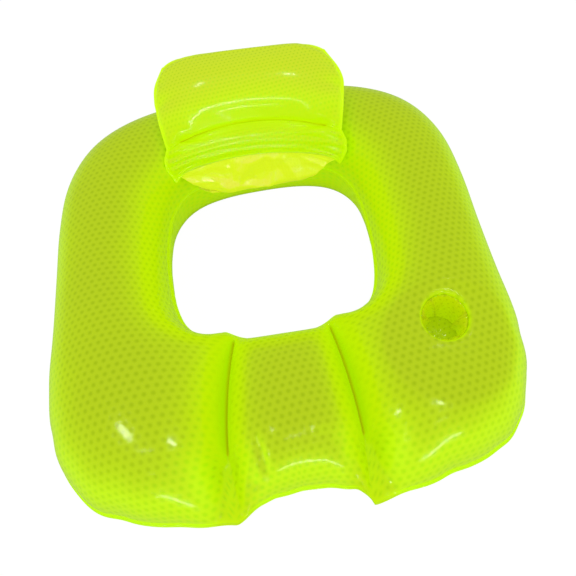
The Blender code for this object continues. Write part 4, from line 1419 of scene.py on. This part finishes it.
def make_valve(name, chamber, place):
    """The six pieces of one valve, pushed in and closed, at its place on a chamber's film."""
    bore = STEM_RADIUS + STEM_CLEARANCE
    face = GAP + VALVE_FLANGE_THICKNESS
    seat = face + GAP
    mouth = seat + COLLAR_THICKNESS
    cap = mouth + GAP
    top = cap + PLUG_CAP_THICKNESS
    pin = STEM_BORE_RADIUS - PLUG_CLEARANCE
    flange = turned(f"{name}_flange_disc", [
        (bore, face), *[(r * VALVE_FLANGE_RADIUS, height * face) for r, height in FLANGE_GROOVE],
        (VALVE_FLANGE_RADIUS, GAP + VALVE_EDGE), (VALVE_FLANGE_RADIUS, GAP), (bore, GAP),
    ], place)
    dress(flange, valve_vinyl, "valve_vinyl", f"{name}_flange", body=chamber)
    stem = turned(f"{name}_stem_tube", [
        (STEM_BORE_RADIUS, mouth), (COLLAR_RADIUS, mouth), (COLLAR_RADIUS, seat), (STEM_RADIUS, seat),
        (STEM_RADIUS, -0.5 * STEM_INSIDE), (0.93 * STEM_RADIUS, -STEM_INSIDE),
        (STEM_BORE_RADIUS, -STEM_INSIDE),
    ], place)
    dress(stem, valve_vinyl, "valve_vinyl", f"{name}_stem", body=f"{name}_stem")
    plug = turned(f"{name}_plug_cap", [
        (0, top - 2 * VALVE_EDGE), (0.55 * COLLAR_RADIUS, top - 2 * VALVE_EDGE),
        (0.70 * COLLAR_RADIUS, top), (0.94 * COLLAR_RADIUS, top), (0.94 * COLLAR_RADIUS, cap), (pin, cap),
        (pin, cap - 0.85 * PLUG_PIN_LENGTH), (0.8 * pin, cap - PLUG_PIN_LENGTH), (0, cap - PLUG_PIN_LENGTH),
    ], place)
    dress(plug, plug_vinyl, "plug_vinyl", f"{name}_plug", body=f"{name}_plug")
    grip = grown(f"{name}_plug_grip", bpy.data.meshes.new(f"{name}_plug_grip"), upright_ribs, {
        "Rib count": GRIP_RIBS,
        "Cap radius": 0.94 * COLLAR_RADIUS,
        "Rib radius": GRIP_RIB_RADIUS,
        "Rib length": 0.86 * PLUG_CAP_THICKNESS,
    }, plug_vinyl)
    grip.data.transform(place @ Matrix.Translation((0, 0, (cap + top) / 2)))
    dress(grip, plug_vinyl, "plug_vinyl", body=f"{name}_plug")
    hinge_height = -STEM_INSIDE - GAP
    flap_foot = hinge_height - CHECK_FLAP_THICKNESS
    flap = turned(f"{name}_check_disc", [
        (0, hinge_height), (CHECK_FLAP_RADIUS, hinge_height), (0.92 * CHECK_FLAP_RADIUS, flap_foot),
        (0, flap_foot),
    ], place)
    dress(flap, plug_vinyl, "plug_vinyl", f"{name}_check_flap", body=f"{name}_flap")
    start = COLLAR_RADIUS - VALVE_EDGE
    low, high = (seat + mouth) / 2, (cap + top) / 2
    route = [
        Vector((start, low)), Vector((start + 0.6 * STRAP_REACH, low - GAP)),
        Vector((start + STRAP_REACH + GAP, (low + high) / 2)),
        Vector((start + 0.6 * STRAP_REACH, high + GAP)), Vector((start, high)),
    ]
    path = smooth_through(route, route[0], route[-1], 8)
    rows = np.array([
        [(p.x, side * STRAP_WIDTH / 2, p.y) for side in (-1, -0.5, 0, 0.5, 1)] for p in path
    ])
    strap = film_object(f"{name}_strap_band", rows, False, False, rows[:, :, :2], {})
    with_wall(strap, STRAP_THICKNESS)
    strap.data.transform(place)
    dress(strap, plug_vinyl, "plug_vinyl", f"{name}_strap")
    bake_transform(strap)


make_valve("ring_valve", "ring", ring_valve[0])
make_valve("headrest_valve", "headrest", head_valve[0])


# Studio: a white floor and a white surround that light the film evenly, small softboxes beside the camera
# and above the headrest, and three long strips in front, which draw the bright lines on the film.
SURROUND_LIGHT = 0.66
MIRRORED_LIGHT = 0.14
FLOOR_SIZE = 12.0
FLOOR_DROP = 0.001
FLOOR_GREY = (0.4, 0.4, 0.4, 1)
FLOOR_ROUGHNESS = 0.8
FLOOR_WHITE = 1.10
SHADOW_SHARE = 0.10
WHITE = (1, 1, 1, 1)


def ray_kinds(tree):
    """The kinds of ray, and 1 for those that show a surface itself, straight or through the film."""
    ray = tree.nodes.new("ShaderNodeLightPath").outputs
    return ray, sum_of(tree, "MAXIMUM", ray["Is Camera Ray"], ray["Is Transmission Ray"])


floor_mesh = bpy.data.meshes.new("floor")
reach = FLOOR_SIZE / 2
floor_mesh.from_pydata(
    [(x, y, -FLOOR_DROP) for x, y in ((-reach, -reach), (reach, -reach), (reach, reach), (-reach, reach))],
    [], [(0, 1, 2, 3)],
)
floor = put_in("floor", floor_mesh)
floor_paint, tree, floor_shader = new_paint("white_floor")
feed_named(floor_shader, {"Base Color": FLOOR_GREY, "Roughness": FLOOR_ROUGHNESS})
white = wire(tree, "ShaderNodeEmission", WHITE, FLOOR_WHITE)
shown = sum_of(tree, "MULTIPLY", ray_kinds(tree)[1], 1 - SHADOW_SHARE)
floor_look = wire(tree, "ShaderNodeMixShader", shown, floor_shader.outputs["BSDF"], white)
feed(tree.nodes["Material Output"].inputs, [floor_look])
floor_mesh.materials.append(floor_paint)

world = bpy.data.worlds.new("studio")
world.use_nodes = True
tree = world.node_tree
ray, shown = ray_kinds(tree)
level = sum_of(tree, "MULTIPLY_ADD", shown, 1 - SURROUND_LIGHT, SURROUND_LIGHT)
level = sum_of(tree, "MULTIPLY_ADD", ray["Is Glossy Ray"], MIRRORED_LIGHT - SURROUND_LIGHT, level)
feed_named(tree.nodes["Background"], {"Color": WHITE, "Strength": level})
bpy.context.scene.world = world


def softbox(name, place, aim, width, height, brightness, spread):
    """A rectangular lamp turned to aim, that looks this bright within its spread in degrees. It draws a
    highlight on the film and leaves the even light as it is."""
    lamp = bpy.data.lights.new(name, "AREA")
    lamp.spread = math.radians(spread)
    lamp.shape = "RECTANGLE"
    lamp.size, lamp.size_y = width, height
    half_spread = lamp.spread / 2
    lamp.energy = brightness * math.pi * width * height * (1 - half_spread / math.tan(half_spread))
    obj = put_in(name, lamp)
    facing = (Vector(aim) - Vector(place)).to_track_quat("-Z", "Y").to_matrix().to_4x4()
    obj.matrix_world = Matrix.Translation(place) @ facing
    obj.visible_diffuse = False


softbox("left_arm_lamp", (-0.52, -0.59, 1.00), (-0.28, -0.36, 0.26), 0.24, 0.10, 32, 30)
softbox("left_flank_lamp", (0.42, -0.81, 1.05), (-0.20, -0.40, 0.23), 0.08, 0.24, 46, 24)
softbox("right_arm_lamp", (0.27, -0.81, 1.05), (0.25, -0.39, 0.25), 0.13, 0.16, 32, 26)
softbox("right_flank_lamp", (-0.65, -0.81, 0.61), (0.18, -0.42, 0.21), 0.06, 0.26, 32, 22)
softbox("head_left_lamp", (-0.20, 0.47, 1.22), (-0.09, 0.38, 0.33), 0.08, 0.04, 40, 34)
softbox("head_right_lamp", (0.11, 0.43, 1.23), (0.10, 0.37, 0.33), 0.08, 0.04, 40, 34)
softbox("cup_lamp", (0.52, 0.06, 1.03), (0.32, -0.12, 0.27), 0.36, 0.03, 60, 18)
softbox("long_strip", (0.0, -1.30, 1.80), (0.0, 0.40, 0.30), 1.5, 0.07, 46, 44)
softbox("roll_strip", (0.0, -1.30, 1.06), (0.0, 0.30, 0.25), 1.0, 0.04, 44, 36)
softbox("low_strip", (0.14, -1.60, 0.53), (0.0, -0.46, 0.19), 1.20, 0.06, 26, 56)
